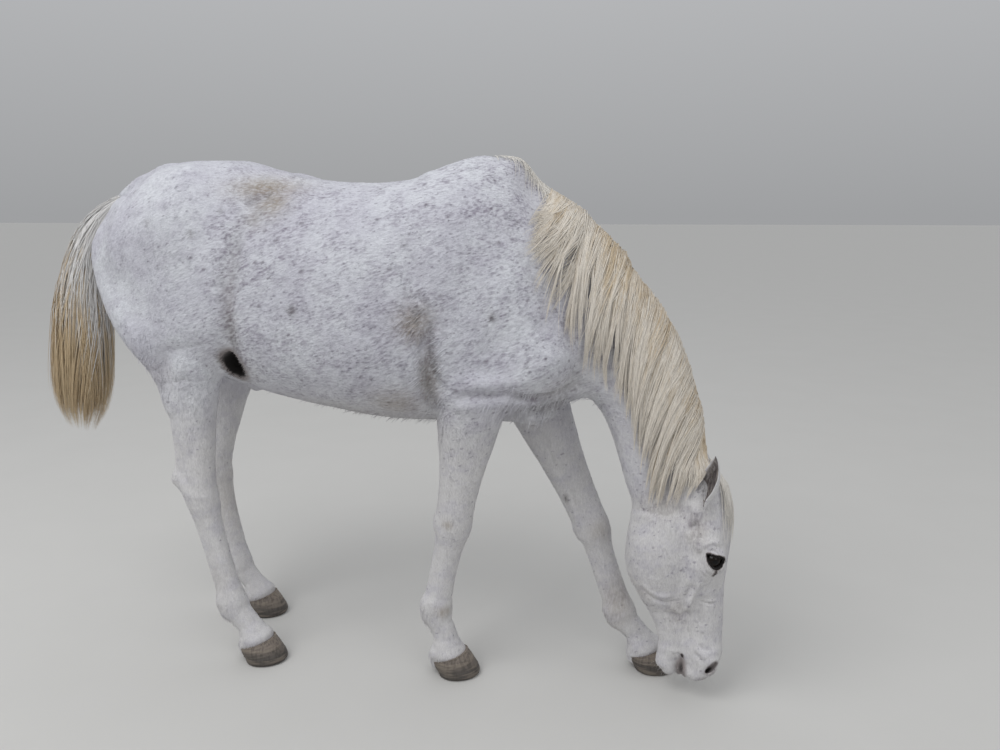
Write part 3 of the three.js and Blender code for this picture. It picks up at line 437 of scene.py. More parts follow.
def head_parts():
    skull = [
        [[-72, 0, -10], 60, 56],
        [[-54, 0, 40], 78, 66],
        [[-44, 0, 95], 80, 76],
        [[-42, 0, 150], 79, 86],
        [[-40, 0, 200], 74, 86],
        [[-36, 0, 250], 66, 74],
        [[-32, 0, 310], 58, 59],
        [[-28, 0, 390], 56, 49],
        [[-26, 0, 450], 54, 44],
        [[-28, 0, 500], 53, 46],
    ]
    muzzle = [[[-28, 0, 490], 52, 45], [[-34, 0, 530], 49, 48], [[-44, 0, 558], 28, 42]]
    jaw = [
        [[-165, 0, 120], 74, 50],
        [[-163, 0, 185], 86, 62],
        [[-160, 0, 245], 90, 62],
        [[-146, 0, 310], 76, 52],
        [[-122, 0, 380], 60, 42],
        [[-112, 0, 440], 46, 36],
        [[-110, 0, 490], 36, 34],
    ]
    chin = [[[-116, 0, 512], 32, 33], [[-122, 0, 545], 33, 36], [[-116, 0, 560], 24, 34]]
    cheek = [
        [[-132, 34, 130], 60, 42],
        [[-150, 40, 200], 72, 45],
        [[-148, 36, 265], 64, 40],
        [[-138, 26, 322], 46, 32],
    ]
    brow = [[[-40, 58, 138], 26, 24], [[-20, 72, 166], 22, 22], [[-8, 78, 188], 22, 21]]
    lids = [[[-10, 78, 190], 25, 25], [[-6, 78, 208], 24, 24]]
    crest = [[[-44, 62, 226], 20, 18], [[-66, 56, 280], 14, 12], [[-78, 46, 348], 11, 9]]
    wings = [[[-8, 30, 492], 20, 16], [[-6, 38, 522], 25, 17], [[-24, 33, 554], 19, 15]]
    lip = [[[-40, 24, 562], 20, 20], [[-62, 22, 556], 20, 20]]
    made = [head_line(skull, 30, egg=-0.12), head_line(muzzle, 24), head_line(jaw, 34), head_line(chin, 20)]
    for rows, blend in [(cheek, 40), (brow, 30), (lids, 20), (crest, 36), (wings, 20), (lip, 16)]:
        made += [head_line(rows, blend, side) for side in SIDES]
    return made


neck = tube(NECK, 60, egg=0.22)
BODY = [
    trunk(TRUNK, 2.25, 50),
    *pair([-560, 140, 1330], [-740, 118, 1290], [140, 92], [120, 86], 70),
    tube([[[-730, 0, 1440], 52, 56], [[-810, 0, 1428], 42, 42], [[-872, 0, 1404], 28, 27]], 50),
    tube([[[110, 0, 1434], 30, 34], [[250, 0, 1472], 34, 36], [[325, 0, 1455], 34, 36]], 50),
    tube(CREST, 50),
    neck,
    muscle([420, 0, 930], [492, 0, 935], [120, 120], [78, 92], 50),
    *pair([462, 60, 905], [400, 76, 835], [58, 56], [56, 56], 40),
    *[part for leg in LEGS.values() for part in (fore_leg(leg) if "knee" in leg else hind_leg(leg))],
]
HEAD = [neck, *head_parts()]


# ---------------------------------------------------------------- the fine skin only: eyes, nostrils, sheath
EYEBALL = 22
LID_HALF = 23.5  # half of the way between the corners of the lids
LID_UPPER = 7  # how far the lids open up and down from the line between their corners
LID_LOWER = 23
EYE_DROP = 8.5  # the eyeball's middle lies this far below the line between the corners of the lids


def eye_frame(side):
    """Centre, and the directions along the lids, up the lids and out of the eye."""
    outward = unit([0.3, side * 0.95, -0.05])
    slant = np.array([0.945, 0, -0.327])
    long = unit(slant - outward * (outward @ slant))
    return in_head([-10, side * 80, 182]), long, np.cross(outward, long) * -side, outward


def lid_bow(a):
    """How far open the lids are: 1 in the middle, 0 at their corners, and a little more towards the nose."""
    share = np.clip(a / LID_HALF, -1.6, 1.6)
    inside = 1 - share**2
    return np.sign(inside) * np.abs(inside) ** 0.72 * (1 + 0.22 * share)


def lid_edge(points, side):
    """Distance outside the pointed oval between the lids, and how far out of the eye each point lies."""
    centre, long, up, outward = eye_frame(side)
    d = points - centre
    a, b = d @ long, d @ up
    bow = lid_bow(a)
    edge = np.maximum(b - LID_UPPER * bow, -b - LID_LOWER * bow) / np.sqrt(1 + (a / 16) ** 2)
    return edge + np.maximum(np.abs(a) - 1.15 * LID_HALF, 0), d @ outward


def lid_opening(side):
    """The opening between the lids, carved out down to the eyeball."""
    centre = eye_frame(side)[0]

    def distance(p):
        edge, out = lid_edge(p, side)
        return np.maximum(edge, 6 - out)

    return Flesh(distance, centre - 60, centre + 60, 2.0, carve=True)


NOSTRIL_RADII = [8, 13, 25]


def nostril_frame(side):
    turn = Matrix.Rotation(side * 0.5, 3, "Z") @ Matrix.Rotation(0.72, 3, "Y")
    return in_head([0, side * 46, 527]), np.array(turn).T


def nostril(side):
    centre, axes = nostril_frame(side)
    return ellipsoid(centre, NOSTRIL_RADII, axes, 5, carve=True)


# The flesh between the chin and the upper lip, where the lips meet.
LIPS = [[[-82, 0, 500], 24, 24], [[-82, 0, 535], 26, 27], [[-80, 0, 562], 22, 24]]


def ear_root(side):
    """The ear grows out of the head in a short cone."""
    rows = [[in_head([-56, side * 48, 88]), 24, 24], [in_head([-58, side * 64, 64]), 17, 17]]
    return tube(rows, 20)


SHEATH = [[[-470, 0, 872], 56, 40], [[-500, -4, 880], 44, 36], [[-530, -8, 884], 30, 28]]
# The groin hollow is carved out and painted near black: painted shadow in the hollow, on dark skin.
GROIN = [-430, -196, 934]  # the dark hollow between the belly and the near thigh
BODY.append(tube(SHEATH, 34))
BODY.append(ellipsoid(GROIN, [26, 46, 42], np.eye(3), 16, carve=True))
HEAD.append(head_line(LIPS, 10))
for side_of_head in SIDES:
    HEAD.append(ear_root(side_of_head))
    HEAD.append(lid_opening(side_of_head))
    HEAD.append(nostril(side_of_head))
FLESH = [BODY, HEAD]


# ---------------------------------------------------------------- meshing the field
def in_metres(points):
    return (np.asarray(points) + ORIGIN) * METRE


def to_metres(point):
    return Vector(in_metres(point))


BLOCK = 4


def grid_line(start, *stretches):
    """Grid places from the first on, in stretches of (end, cell), filled up to whole blocks."""
    places = [float(start)]
    for end, cell in stretches:
        begin = places[-1]
        count = max(1, round((end - begin) / cell))
        places += [begin + (end - begin) * i / count for i in range(1, count + 1)]
    while len(places) % BLOCK:
        places.append(2 * places[-1] - places[-2])
    return np.array(places)


def sampled(groups, lines):
    """The field at every place of the grid: exact near the surface, and rough in blocks far from it."""
    middles = [g.reshape(-1, BLOCK).mean(1) for g in lines]
    spans = [np.ptp(g.reshape(-1, BLOCK), axis=1) for g in lines]
    centres = np.stack(np.meshgrid(*middles, indexing="ij"), axis=-1)
    radius = 0.5 * np.linalg.norm(np.stack(np.meshgrid(*spans, indexing="ij"), axis=-1), axis=-1)
    rough = field(groups, centres.reshape(-1, 3)).reshape(centres.shape[:3])
    near = np.abs(rough) < 1.6 * radius + 15
    value, exact = rough, near
    for axis in range(3):
        value = np.repeat(value, BLOCK, axis=axis)
        exact = np.repeat(exact, BLOCK, axis=axis)
    at = np.nonzero(exact)
    value[at] = field(groups, np.column_stack([line[i] for line, i in zip(lines, at)]))
    return value + COAT


CORNERS = np.array([[c & 1, c >> 1 & 1, c >> 2] for c in range(8)])


def surface_nets(groups, lines):
    """Points and quads on the surface of the field: one point in each cell that it crosses."""
    value = sampled(groups, lines)
    inside = value < 0
    shape = np.array(value.shape)
    counts = np.zeros(shape - 1, int)
    for corner in CORNERS:
        counts += inside[tuple(slice(o, s - 1 + o) for o, s in zip(corner, shape))]
    cells = np.stack(np.nonzero((counts > 0) & (counts < 8)), axis=1)
    number = np.full(shape - 1, -1)
    number[tuple(cells.T)] = np.arange(len(cells))
    total = np.zeros((len(cells), 3))
    crossings = np.zeros(len(cells))
    for axis in range(3):
        for corner in CORNERS[CORNERS[:, axis] == 0]:
            near, far = cells + corner, cells + corner + np.eye(3, dtype=int)[axis]
            a, b = value[tuple(near.T)], value[tuple(far.T)]
            crossed = (a < 0) != (b < 0)
            t = np.where(crossed, a / np.where(crossed, a - b, 1), 0)[:, None]
            p = np.column_stack([line[i] for line, i in zip(lines, near.T)])
            q = np.column_stack([line[i] for line, i in zip(lines, far.T)])
            total += mix(p, q, t) * crossed[:, None]
            crossings += crossed
    points = total / crossings[:, None]
    quads = []
    for axis, b, c in [(0, 1, 2), (1, 2, 0), (2, 0, 1)]:
        step = np.eye(3, dtype=int)
        ahead = tuple(slice(1 if i == axis else 0, None) for i in range(3))
        here = tuple(slice(None, -1 if i == axis else None) for i in range(3))
        edges = np.stack(np.nonzero(inside[here] != inside[ahead]), axis=1)
        edges = edges[(edges[:, b] > 0) & (edges[:, c] > 0)]
        edges = edges[(edges[:, b] < shape[b] - 1) & (edges[:, c] < shape[c] - 1)]
        around = [edges - step[b] - step[c], edges - step[c], edges, edges - step[b]]
        ring = np.stack([number[tuple(cell.T)] for cell in around], axis=1)
        out = inside[tuple(edges.T)]
        quads.append(np.where(out[:, None], ring, ring[:, ::-1]))
    quads = np.concatenate(quads)
    for _ in range(2):
        off = field(groups, points) + COAT
        points = points - slope_at(groups, points, 1.0) * np.clip(off, -4, 4)[:, None]
    return points, quads[np.all(quads >= 0, axis=1)]


def shade_smooth(mesh):
    mesh.polygons.foreach_set("use_smooth", np.ones(len(mesh.polygons), bool))


def new_mesh(name, points, faces):
    """A mesh from places in mm and one or more arrays of faces with a like number of corners."""
    mesh = bpy.data.meshes.new(name)
    mesh.vertices.add(len(points))
    mesh.vertices.foreach_set("co", in_metres(points).astype(np.float32).ravel())
    loops = np.concatenate([f.ravel() for f in faces])
    sizes = np.concatenate([np.full(len(f), f.shape[1]) for f in faces])
    mesh.loops.add(len(loops))
    mesh.loops.foreach_set("vertex_index", loops.astype(np.int32))
    mesh.polygons.add(len(sizes))
    mesh.polygons.foreach_set("loop_start", np.concatenate([[0], np.cumsum(sizes)[:-1]]).astype(np.int32))
    shade_smooth(mesh)
    mesh.update(calc_edges=True)
    return mesh


FACING = 0.35  # the least that a direction of shading leans to the side that its face shows


def soften(mesh, normals):
    """Shades a mesh with the given direction at each corner of its faces."""
    flat = np.empty(len(mesh.polygons) * 3, np.float32)
    sizes = np.empty(len(mesh.polygons), np.int32)
    mesh.polygons.foreach_get("normal", flat)
    mesh.polygons.foreach_get("loop_total", sizes)
    own = np.repeat(flat.reshape(-1, 3).astype(float), sizes, axis=0)
    normals = unit(normals.reshape(-1, 3))
    turned = normals + own * np.clip(FACING - dots(normals, own), 0, None)[:, None]
    mesh.normals_split_custom_set(unit(turned).astype(np.float32))


def mesh_points(mesh):
    flat = np.empty(len(mesh.vertices) * 3, np.float32)
    mesh.vertices.foreach_get("co", flat)
    return flat.reshape(-1, 3).astype(float) / METRE - ORIGIN


def mesh_normals(mesh):
    flat = np.empty(len(mesh.vertices) * 3, np.float32)
    mesh.vertex_normals.foreach_get("vector", flat)
    return flat.reshape(-1, 3).astype(float)


def add_object(name, mesh, material):
    made = bpy.data.objects.new(name, mesh)
    bpy.context.scene.collection.objects.link(made)
    mesh.materials.append(material)
    return made


NECK_SEAM = np.array([717.0, -11.0, 838.0])
NECK_WAY = unit([0.36, 0, -0.933])
SEAM_WIDTH = 10
# The body's faces beyond these places [x, z] belong to the neck, and are cut at its seam.
NECK_PARTS = (to_metres([575, 0, 600]), to_metres([640, 0, 440]))


def joined_skin(body, head):
    """Cuts the body's skin and the head's at two planes across the neck and knits them into one mesh."""
    bm = bmesh.new()
    for (points, quads), way, shift in [(body, 1, -0.5), (head, -1, 0.5)]:
        part = bmesh.new()
        rough = new_mesh("part", points, [quads])
        part.from_mesh(rough)
        plane = to_metres(NECK_SEAM + NECK_WAY * SEAM_WIDTH * shift)
        keep = []
        for f in part.faces:
            middle = f.calc_center_median()
            if way < 0 or any(middle.x > place.x and middle.z > place.z for place in NECK_PARTS):
                keep.append(f)
        edges = {e for f in keep for e in f.edges}
        verts = {v for f in keep for v in f.verts}
        bmesh.ops.bisect_plane(
            part,
            geom=sorted(verts, key=lambda v: v.index) + sorted(edges, key=lambda e: e.index) + keep,
            dist=1e-7,
            plane_co=plane,
            plane_no=Vector(NECK_WAY * way),
            clear_outer=True,
        )
        cut = bpy.data.meshes.new("cut")
        part.to_mesh(cut)
        part.free()
        bm.from_mesh(cut)
        bpy.data.meshes.remove(cut)
        bpy.data.meshes.remove(rough)
    rims = {-1: [], 1: []}
    seam = to_metres(NECK_SEAM)
    front = unit(np.cross([0, 1, 0], NECK_WAY))
    for v in bm.verts:
        off = (v.co - seam).dot(Vector(NECK_WAY)) / METRE
        near = abs(abs(off) - SEAM_WIDTH / 2) < 0.05 and (v.co - seam).length < 0.2
        if near and any(e.is_boundary for e in v.link_edges):
            d = v.co - seam
            rims[1 if off > 0 else -1].append((math.atan2(d.y, d.dot(Vector(front))), v))
    above, below = [[v for _, v in sorted(rims[s], key=lambda r: r[0])] for s in (-1, 1)]
    turns = [[a for a, _ in sorted(rims[s], key=lambda r: r[0])] for s in (-1, 1)]
    upper, lower = [[*turn[1:], math.tau + turn[0], math.inf] for turn in turns]
    i = j = 0
    while i < len(above) or j < len(below):
        a, b = above[i % len(above)], below[j % len(below)]
        if upper[i] < lower[j]:
            bm.faces.new((above[(i + 1) % len(above)], a, b))
            i += 1
        else:
            bm.faces.new((a, b, below[(j + 1) % len(below)]))
            j += 1
    mesh = bpy.data.meshes.new("skin")
    bmesh.ops.recalc_face_normals(bm, faces=bm.faces[:])
    bm.to_mesh(mesh)
    bm.free()
    shade_smooth(mesh)
    return mesh


BODY_GRID = [
    grid_line(-990, (900, 8)),
    grid_line(-315, (315, 8)),
    grid_line(20, (600, 7), (1560, 9)),
]
HEAD_GRID = [
    grid_line(585, (700, 6), (985, 3)),
    grid_line(-175, (-145, 5), (65, 3), (115, 6)),
    grid_line(30, (170, 2.4), (380, 4), (520, 2.8), (905, 6)),
]
skin_mesh = joined_skin(surface_nets([BODY], BODY_GRID), surface_nets([HEAD], HEAD_GRID))


# ---------------------------------------------------------------- folds, creases and veins in the skin
def first_skin(groups, x, y, z):
    """The place where a line across the horse, through every y at x and z, first meets the skin."""
    line = np.column_stack([np.full_like(y, x), y, np.full_like(y, z)])
    value = field(groups, line)
    hit = np.nonzero(value < 0)[0]
    if len(hit) == 0:
        return line[np.argmin(value)]
    i = max(hit[0], 1)
    return mix(line[i - 1], line[i], value[i - 1] / (value[i - 1] - value[i]))


def on_side(x, z, side):
    """The place on the skin at x and z, seen square from one side."""
    return first_skin(FLESH, x, np.arange(340.0, 0.0, -4.0) * side, z)


def head_side(forward, down, side):
    """The place on the side of the head, forward and down from the poll."""
    x, middle, z = in_head([forward, 0, down])
    return first_skin([HEAD], x, middle + np.arange(140.0, 0.0, -3.0) * side, z)


def onto_skin(path, groups):
    """A path drawn onto the skin."""
    for _ in range(3):
        path = path - slope_at(groups, path) * (field(groups, path) + COAT)[:, None]
    return path


def curve(points, spacing=5.0):
    """Points close together on a smooth curve through the given ones."""
    points = np.array(points, float)
    chord = np.concatenate([[0], np.cumsum(np.linalg.norm(np.diff(points, axis=0), axis=1))])
    at = profile(np.column_stack([chord, points]))
    return at(np.linspace(0, chord[-1], max(3, round(chord[-1] / spacing))))


# A groove or ridge over the body's sides: width, height (minus for a groove), and its places [x, z].
BODY_LINES = [
    [20, -8, [[-352, 1352], [-376, 1258], [-398, 1123], [-416, 1000], [-440, 930]]],  # flank
    [28, 4, [[-386, 1352], [-412, 1258], [-438, 1123], [-458, 1010]]],
    [16, 7, [[-380, 1448], [-314, 1462], [-250, 1440], [-228, 1392], [-300, 1325]]],  # point of the hip
    [30, -8, [[-300, 1410], [-345, 1395], [-380, 1370]]],
    [13, -10, [[168, 1098], [158, 1019], [168, 941], [184, 874]]],  # behind the elbow
    [14, 6, [[142, 1098], [130, 1019], [140, 941]]],
    [7, -4.5, [[91, 1137], [131, 1143], [157, 1113], [140, 1082]]],
    [7, -4, [[80, 1100], [110, 1118], [128, 1090]]],
    [6, -3, [[100, 1070], [124, 1084], [138, 1060]]],
    [13, -8, [[196, 868], [256, 880], [330, 884], [400, 888]]],  # forearm under the breast
    [16, 5, [[200, 842], [260, 852], [330, 856], [380, 862]]],
    [16, 6, [[230, 912], [300, 916], [370, 920], [440, 930]]],
    [8, -3, [[-650, 964], [-534, 989], [-455, 1000]]],  # stifle
    [8, -2.5, [[-722, 860], [-588, 887], [-483, 909]]],
    [26, -5, [[300, 1400], [360, 1290], [420, 1180], [455, 1080], [450, 990]]],  # in front of the shoulder
    [30, -4, [[150, 1400], [130, 1300], [140, 1200], [170, 1140]]],  # behind the shoulder blade
    [26, -4, [[-700, 1330], [-740, 1230], [-735, 1120], [-700, 1020]]],  # between the hamstrings
]
# Folds across the breast between the forelegs: places [x, y, z].
BREAST_LINES = [
    [14, -15, [[352, -190, 880], [410, -172, 872], [470, -140, 878], [530, -90, 905]]],
    [12, 8, [[360, -186, 856], [420, -160, 848], [490, -120, 856], [548, -66, 885]]],
    [10, -9, [[366, -160, 836], [430, -140, 830], [500, -96, 838], [548, -44, 868]]],
    [10, 6, [[370, -130, 812], [436, -110, 808], [505, -70, 818]]],
    [8, -5, [[330, -90, 792], [400, -76, 786], [470, -50, 796]]],
    [14, -6, [[500, -120, 960], [520, -96, 920], [530, -60, 890]]],
]
# Lines on the head: places [forward, down] from the poll, on both sides.
HEAD_LINES = [
    [6, -5.2, [[-204, 300], [-190, 318], [-168, 332], [-133, 340], [-100, 334], [-86, 318]]],  # cheek
    [7, 3.8, [[-200, 286], [-176, 308], [-140, 320], [-108, 316]]],
    [11, -6.8, [[-96, 366], [-84, 338], [-72, 304], [-60, 268]]],  # under the facial crest
    [9, 6, [[-76, 352], [-64, 322], [-50, 288], [-40, 256]]],
    [10, 5.2, [[-58, 176], [-40, 150], [-14, 140], [10, 152]]],  # rim of the eye socket
    [14, -7.5, [[-74, 96], [-58, 118], [-50, 140]]],  # the hollow over the eye
    [5, -2.7, [[-56, 84], [-66, 128], [-84, 172]]],
    [16, -5.2, [[-34, 300], [-36, 360], [-40, 420]]],  # between the nose bone and the cheek
    [8, -3.9, [[-40, 462], [-20, 474], [2, 476]]],  # behind the nostril
    [6, -3, [[-50, 488], [-34, 500], [-24, 516]]],
    [7, 3.6, [[-46, 474], [-30, 486], [-16, 500]]],
    [3.5, -3.6, [[6, 330], [-10, 334], [-28, 334], [-44, 328]]],
    [3.5, 2.4, [[6, 322], [-14, 325], [-34, 324]]],
    [5, 3.9, [[-60, 300], [-68, 340], [-60, 380], [-64, 420], [-54, 450]]],  # veins of the face
    [4.5, 3.3, [[-68, 340], [-88, 372], [-98, 410]]],
    [4, 2.7, [[-60, 380], [-38, 404], [-26, 430]]],
    [10, 6, [[-124, 352], [-104, 366], [-84, 384], [-74, 410]]],  # the fleshy cheek below the crest
    [9, -5.2, [[-130, 372], [-112, 392], [-98, 424]]],
    [4.5, -3.6, [[-26, 164], [-14, 160], [2, 168], [10, 182]]],  # folds over the eye
    [4, -2.7, [[-32, 152], [-16, 146], [4, 154]]],
    [4.5, -2.6, [[-44, 192], [-36, 216], [-18, 236]]],  # under the eye
    [4, -2, [[-54, 200], [-44, 228], [-24, 248]]],
    [6, -4.8, [[-96, 500], [-88, 514], [-82, 530]]],  # corner of the mouth
    [5, -3, [[-112, 496], [-100, 520], [-98, 544]]],
    [4, -2.4, [[-56, 506], [-52, 530], [-58, 552]]],  # wrinkles of the lips
    [4, -2.4, [[-40, 512], [-38, 534], [-44, 556]]],
    [8, -4.5, [[-226, 92], [-196, 84], [-160, 84], [-120, 92]]],  # throat
]
# Veins and tendons down the legs: node, width, height and the share and offset [down the bone, back, out].
LEG_LINES = [
    [10, -3.2, "cannon", [[0.1, 18, 30], [0.5, 15, 28], [0.9, 16, 32]]],
    [7, -2, "cannon", [[0.16, 34, 22], [0.5, 31, 22], [0.86, 32, 24]]],
    [5, 1.8, "arm", [[0.15, -20, 52], [0.45, 8, 44], [0.75, 26, 38], [0.98, 20, 42]]],
    [10, -3, "arm", [[0.2, 20, 52], [0.5, 14, 46], [0.86, 8, 40]]],
]


def leg_bones(leg):
    """Pairs of ends for the upper bone (arm or gaskin) and the cannon."""
    upper = leg.get("elbow") or leg.get("stifle")
    middle = leg.get("knee") or leg.get("hock")
    return {"arm": (upper, middle), "cannon": (middle, leg["fetlock"])}


@functools.cache
def mouth_path():
    """Where the lips meet, from one corner of the mouth round to the other."""
    right, left = [[head_side(-81, down, side) for down in (508, 522, 537, 552, 566)] for side in SIDES]
    tip = [in_head([-81, out, 583]) for out in (-14, 14)]
    return curve(right + tip + left[::-1], 3.0)


@functools.cache
def skin_lines():
    """Every line as (points close together, width, height)."""
    made = []
    for side in SIDES:
        for width, height, places in BODY_LINES:
            made.append((curve([on_side(x, z, side) for x, z in places]), width, height))
        for width, height, places in BREAST_LINES:
            path = curve([[x, -y * side, z] for x, y, z in places])
            made.append((onto_skin(path, [BODY]), width, height))
        for width, height, places in HEAD_LINES:
            made.append((curve([head_side(f, d, side) for f, d in places]), width, height))
    for leg in LEGS.values():
        bones = leg_bones(leg)
        for width, height, bone, places in LEG_LINES:
            for side in SIDES:
                path = [along(*bones[bone], t, back) + [0, side * out, 0] for t, back, out in places]
                made.append((onto_skin(curve(path), [BODY]), width, height))
    mouth = mouth_path()
    made.append((mouth, 4.0, -8.5))
    made.append((mouth + [11, 0, 0], 7, 1.8))
    made.append((mouth - [11, 0, 0], 7, 1.8))
    return made


def relief(points):
    """How far the skin is raised at each point by its folds, veins and tendons."""
    total = np.zeros(len(points))
    for path, width, height in skin_lines():
        reach = 3 * width
        near = np.all((points > path.min(0) - reach) & (points < path.max(0) + reach), axis=1)
        here = np.nonzero(near)[0]
        if len(here) == 0:
            continue
        nearest = np.full(len(here), 1e9)
        share = np.zeros(len(here))
        for i, p in enumerate(path):
            away = dots(points[here] - p, points[here] - p)
            closer = away < nearest
            nearest[closer] = away[closer]
            share[closer] = i / (len(path) - 1)
        fade = ramp(share, -0.02, 0.22) * ramp(share, 1.02, 0.78)
        total[here] += height * fade * np.exp(-nearest / width**2)
    return total


def noise3(points, size, seed):
    """Smooth noise from -1 to 1: a sum of seeded waves."""
    rng = np.random.default_rng(seed)
    total = np.zeros(len(points))
    for _ in range(10):
        way = unit(rng.normal(size=3))
        total += np.sin(points @ way * math.tau / (size * rng.uniform(0.7, 1.5)) + rng.uniform(0, math.tau))
    return total / 4.5


def sculpt(mesh):
    points, normals = mesh_points(mesh), mesh_normals(mesh)
    off_head = ramp(points[:, 2] - 0.9 * (points[:, 0] - 700), 600, 760)
    raised = relief(points) + 1.1 * off_head * noise3(points, 130, 3) + 0.35 * noise3(points, 42, 4)
    points = points + normals * np.clip(raised, -15, 9)[:, None]
    mesh.vertices.foreach_set("co", in_metres(points).astype(np.float32).ravel())
    mesh.update()


sculpt(skin_mesh)


# ---------------------------------------------------------------- ears
EAR_LENGTH = 148
EAR_ROWS = [
    [0, 21, 1.4],
    [0.2, 29, 1.8],
    [0.42, 35, 1.6],
    [0.62, 32, 1.4],
    [0.8, 22, 1.2],
    [0.93, 11, 1.0],
    [1, 2.5, 0.8],
]


def ear_frame(side):
    root = in_head([-60, side * 77, 44])
    axis = unit([0.3 if side == RIGHT else -0.1, side * 0.1, 1])
    mouth = unit([-0.93, side * 0.42, -0.1])
    opening = unit(mouth - axis * (mouth @ axis))
    return root, axis, opening, np.cross(axis, opening)


def ear_point(side, t, u, depth):
    """A place on an ear: t from root to tip, u from edge to edge, depth 0 on the outside and 1 in the cup."""
    root, axis, opening, across = ear_frame(side)
    half, roll = profile(EAR_ROWS)(t)
    thick = mix(5.5, 2.2, t) * depth * (1 - abs(u) ** 6)
    radius = max(half - thick, half * 0.4)
    middle = root + axis * EAR_LENGTH * t + opening * (8 * t * t - 4)
    turn = u * roll
    wide = radius * math.sin(turn) / math.sin(min(roll, math.pi / 2))
    return middle + across * wide - opening * radius * 0.85 * math.cos(turn)


def ear_shell(side):
    """The leaf of one ear as points, quads and how far each point lies inside the cup."""
    rows, steps = 30, 15
    shares = np.linspace(0, 1, rows)
    across = np.linspace(-1, 1, steps)
    points, cup = [], []
    for t in shares:
        for depth, order in [(0, across), (1, across[::-1])]:
            for u in order:
                points.append(ear_point(side, t, u, depth))
                cup.append(depth * (1 - abs(u) ** 4))
    ring = 2 * steps
    i = np.arange(steps - 1)
    root_cap = np.stack([i, ring - 1 - i, ring - 2 - i, i + 1], axis=1)
    tip_cap = root_cap[:, ::-1] + (rows - 1) * ring
    quads = np.concatenate([ring_quads(rows, ring), root_cap, tip_cap])
    return np.array(points), quads if side == LEFT else quads[:, ::-1], np.array(cup)


# ---------------------------------------------------------------- lie of the coat, markings and unwrap
def sigmoid(x):
    return 1 / (1 + np.exp(-np.clip(x, -40, 40)))


NECK_BASE = (np.array([488.0, 0, 1137]), unit([0.949, 0, 0.316]))
THROAT = (np.array([783.0, -20, 622]), unit([0.525, 0, -0.851]))


def regions(points):
    """Soft shares of the head, the neck and the legs at each point; the rest is trunk."""
    x, z = points[:, 0], points[:, 2]
    front = sigmoid((x - 655 + 0.5 * np.clip(420 - z, 0, 400) * (points[:, 1] > 30)) / 12)
    head = sigmoid(((points - THROAT[0]) @ THROAT[1]) / 25) * front
    neck_share = sigmoid(((points - NECK_BASE[0]) @ NECK_BASE[1]) / 40) * sigmoid((z - 780) / 30)
    neck_share = np.maximum(neck_share, sigmoid((x - 640) / 10) * (z > 560)) * (1 - head)
    leg = sigmoid((800 - z) / 45) * (1 - head) * (1 - neck_share)
    return head, neck_share, leg


def lie_of_coat(points, normals):
    """The way the hair lies: back and down on the trunk, up the hanging neck, down the face and the legs."""
    head, neck_share, leg = regions(points)
    x, z = points[:, 0], points[:, 2]
    rear = ramp(x, -450, -700)
    body = np.column_stack([-1 + 0.35 * rear, np.zeros(len(x)), -0.35 - 0.8 * rear])
    shoulder = ramp(x, 150, 380) * ramp(z, 1250, 1000)
    body[:, 2] -= 0.9 * shoulder
    on_neck = np.tile([-0.75, 0, 0.25], (len(x), 1))
    down_neck = ramp(z, 1150, 800)[:, None]
    on_neck = mix(on_neck, np.tile([-0.75, 0, 0.75], (len(x), 1)), down_neck)
    on_head = np.column_stack([-0.35 * ramp(x, 915, 800), np.zeros(len(x)), -np.ones(len(x))])
    on_leg = np.tile([-0.12, 0, -1.0], (len(x), 1))
    way = body * (1 - head - neck_share - leg)[:, None] + on_head * head[:, None]
    way += on_neck * neck_share[:, None] + on_leg * leg[:, None]
    return unit(way - normals * dots(way, normals)[:, None])


def blobs(points, rows):
    """The strongest of several soft patches: places, radii and amounts."""
    total = np.zeros(len(points))
    for centre, radii, amount in rows:
        d = (points - np.array(centre, float)) / np.array(radii, float)
        total = np.maximum(total, amount * np.exp(-dots(d, d)))
    return total


def both(rows):
    """Patches on the right side of the horse, and fainter ones on its left."""
    near = [[[x, -y, z], radii, amount] for [x, y, z], radii, amount in rows]
    return near + [[[x - 12, y, z + 8], radii, 0.55 * amount] for [x, y, z], radii, amount in rows]


def head_blobs(rows):
    return [[in_head([f, o * s, d]), radii, amount] for s in SIDES for [f, o, d], radii, amount in rows]


# Brownish stains and dirt, and a brownish painted shade along the flank folds.
STAINS_AND_FOLD_SHADE = [
    *head_blobs([[[-150, 60, 66], [56, 70, 34], 0.3], [[-100, 50, 376], [30, 50, 50], 0.22]]),
    *head_blobs([[[-60, 66, 112], [34, 60, 50], 0.3], [[-200, 30, 330], [40, 50, 50], 0.2]]),
    *both([[[-325, 160, 1426], [92, 90, 34], 0.9], [[-295, 185, 1385], [50, 80, 40], 0.8]]),  # hip
    *both([[[-330, 200, 1345], [34, 80, 34], 0.35]]),
    # Painted shade along the flank fold, in the stain's colour.
    *both([[[-398, 230, 1080], [24, 60, 130], 0.25], [[-420, 200, 930], [60, 60, 60], 0.3]]),  # flank fold
    *both([[[124, 250, 1080], [46, 70, 46], 0.62], [[155, 220, 930], [24, 60, 90], 0.45]]),  # elbow
    *both([[[50, 200, 850], [75, 90, 50], 0.55], [[-100, 150, 800], [260, 110, 60], 0.25]]),  # belly
    *both([[[460, 110, 905], [90, 70, 50], 0.3], [[-650, 200, 900], [80, 60, 60], 0.15]]),
    [[173, -130, 488], [16, 22, 12], 0.8],  # knee
    [[151, -112, 204], [26, 22, 16], 0.7],  # fetlock
    [[577, 92, 430], [26, 40, 30], 0.75],
    [[640, 76, 205], [40, 40, 70], 0.6],
    [[-560, -140, 240], [40, 40, 70], 0.2],
    [[-700, 142, 400], [60, 60, 120], 0.3],
]
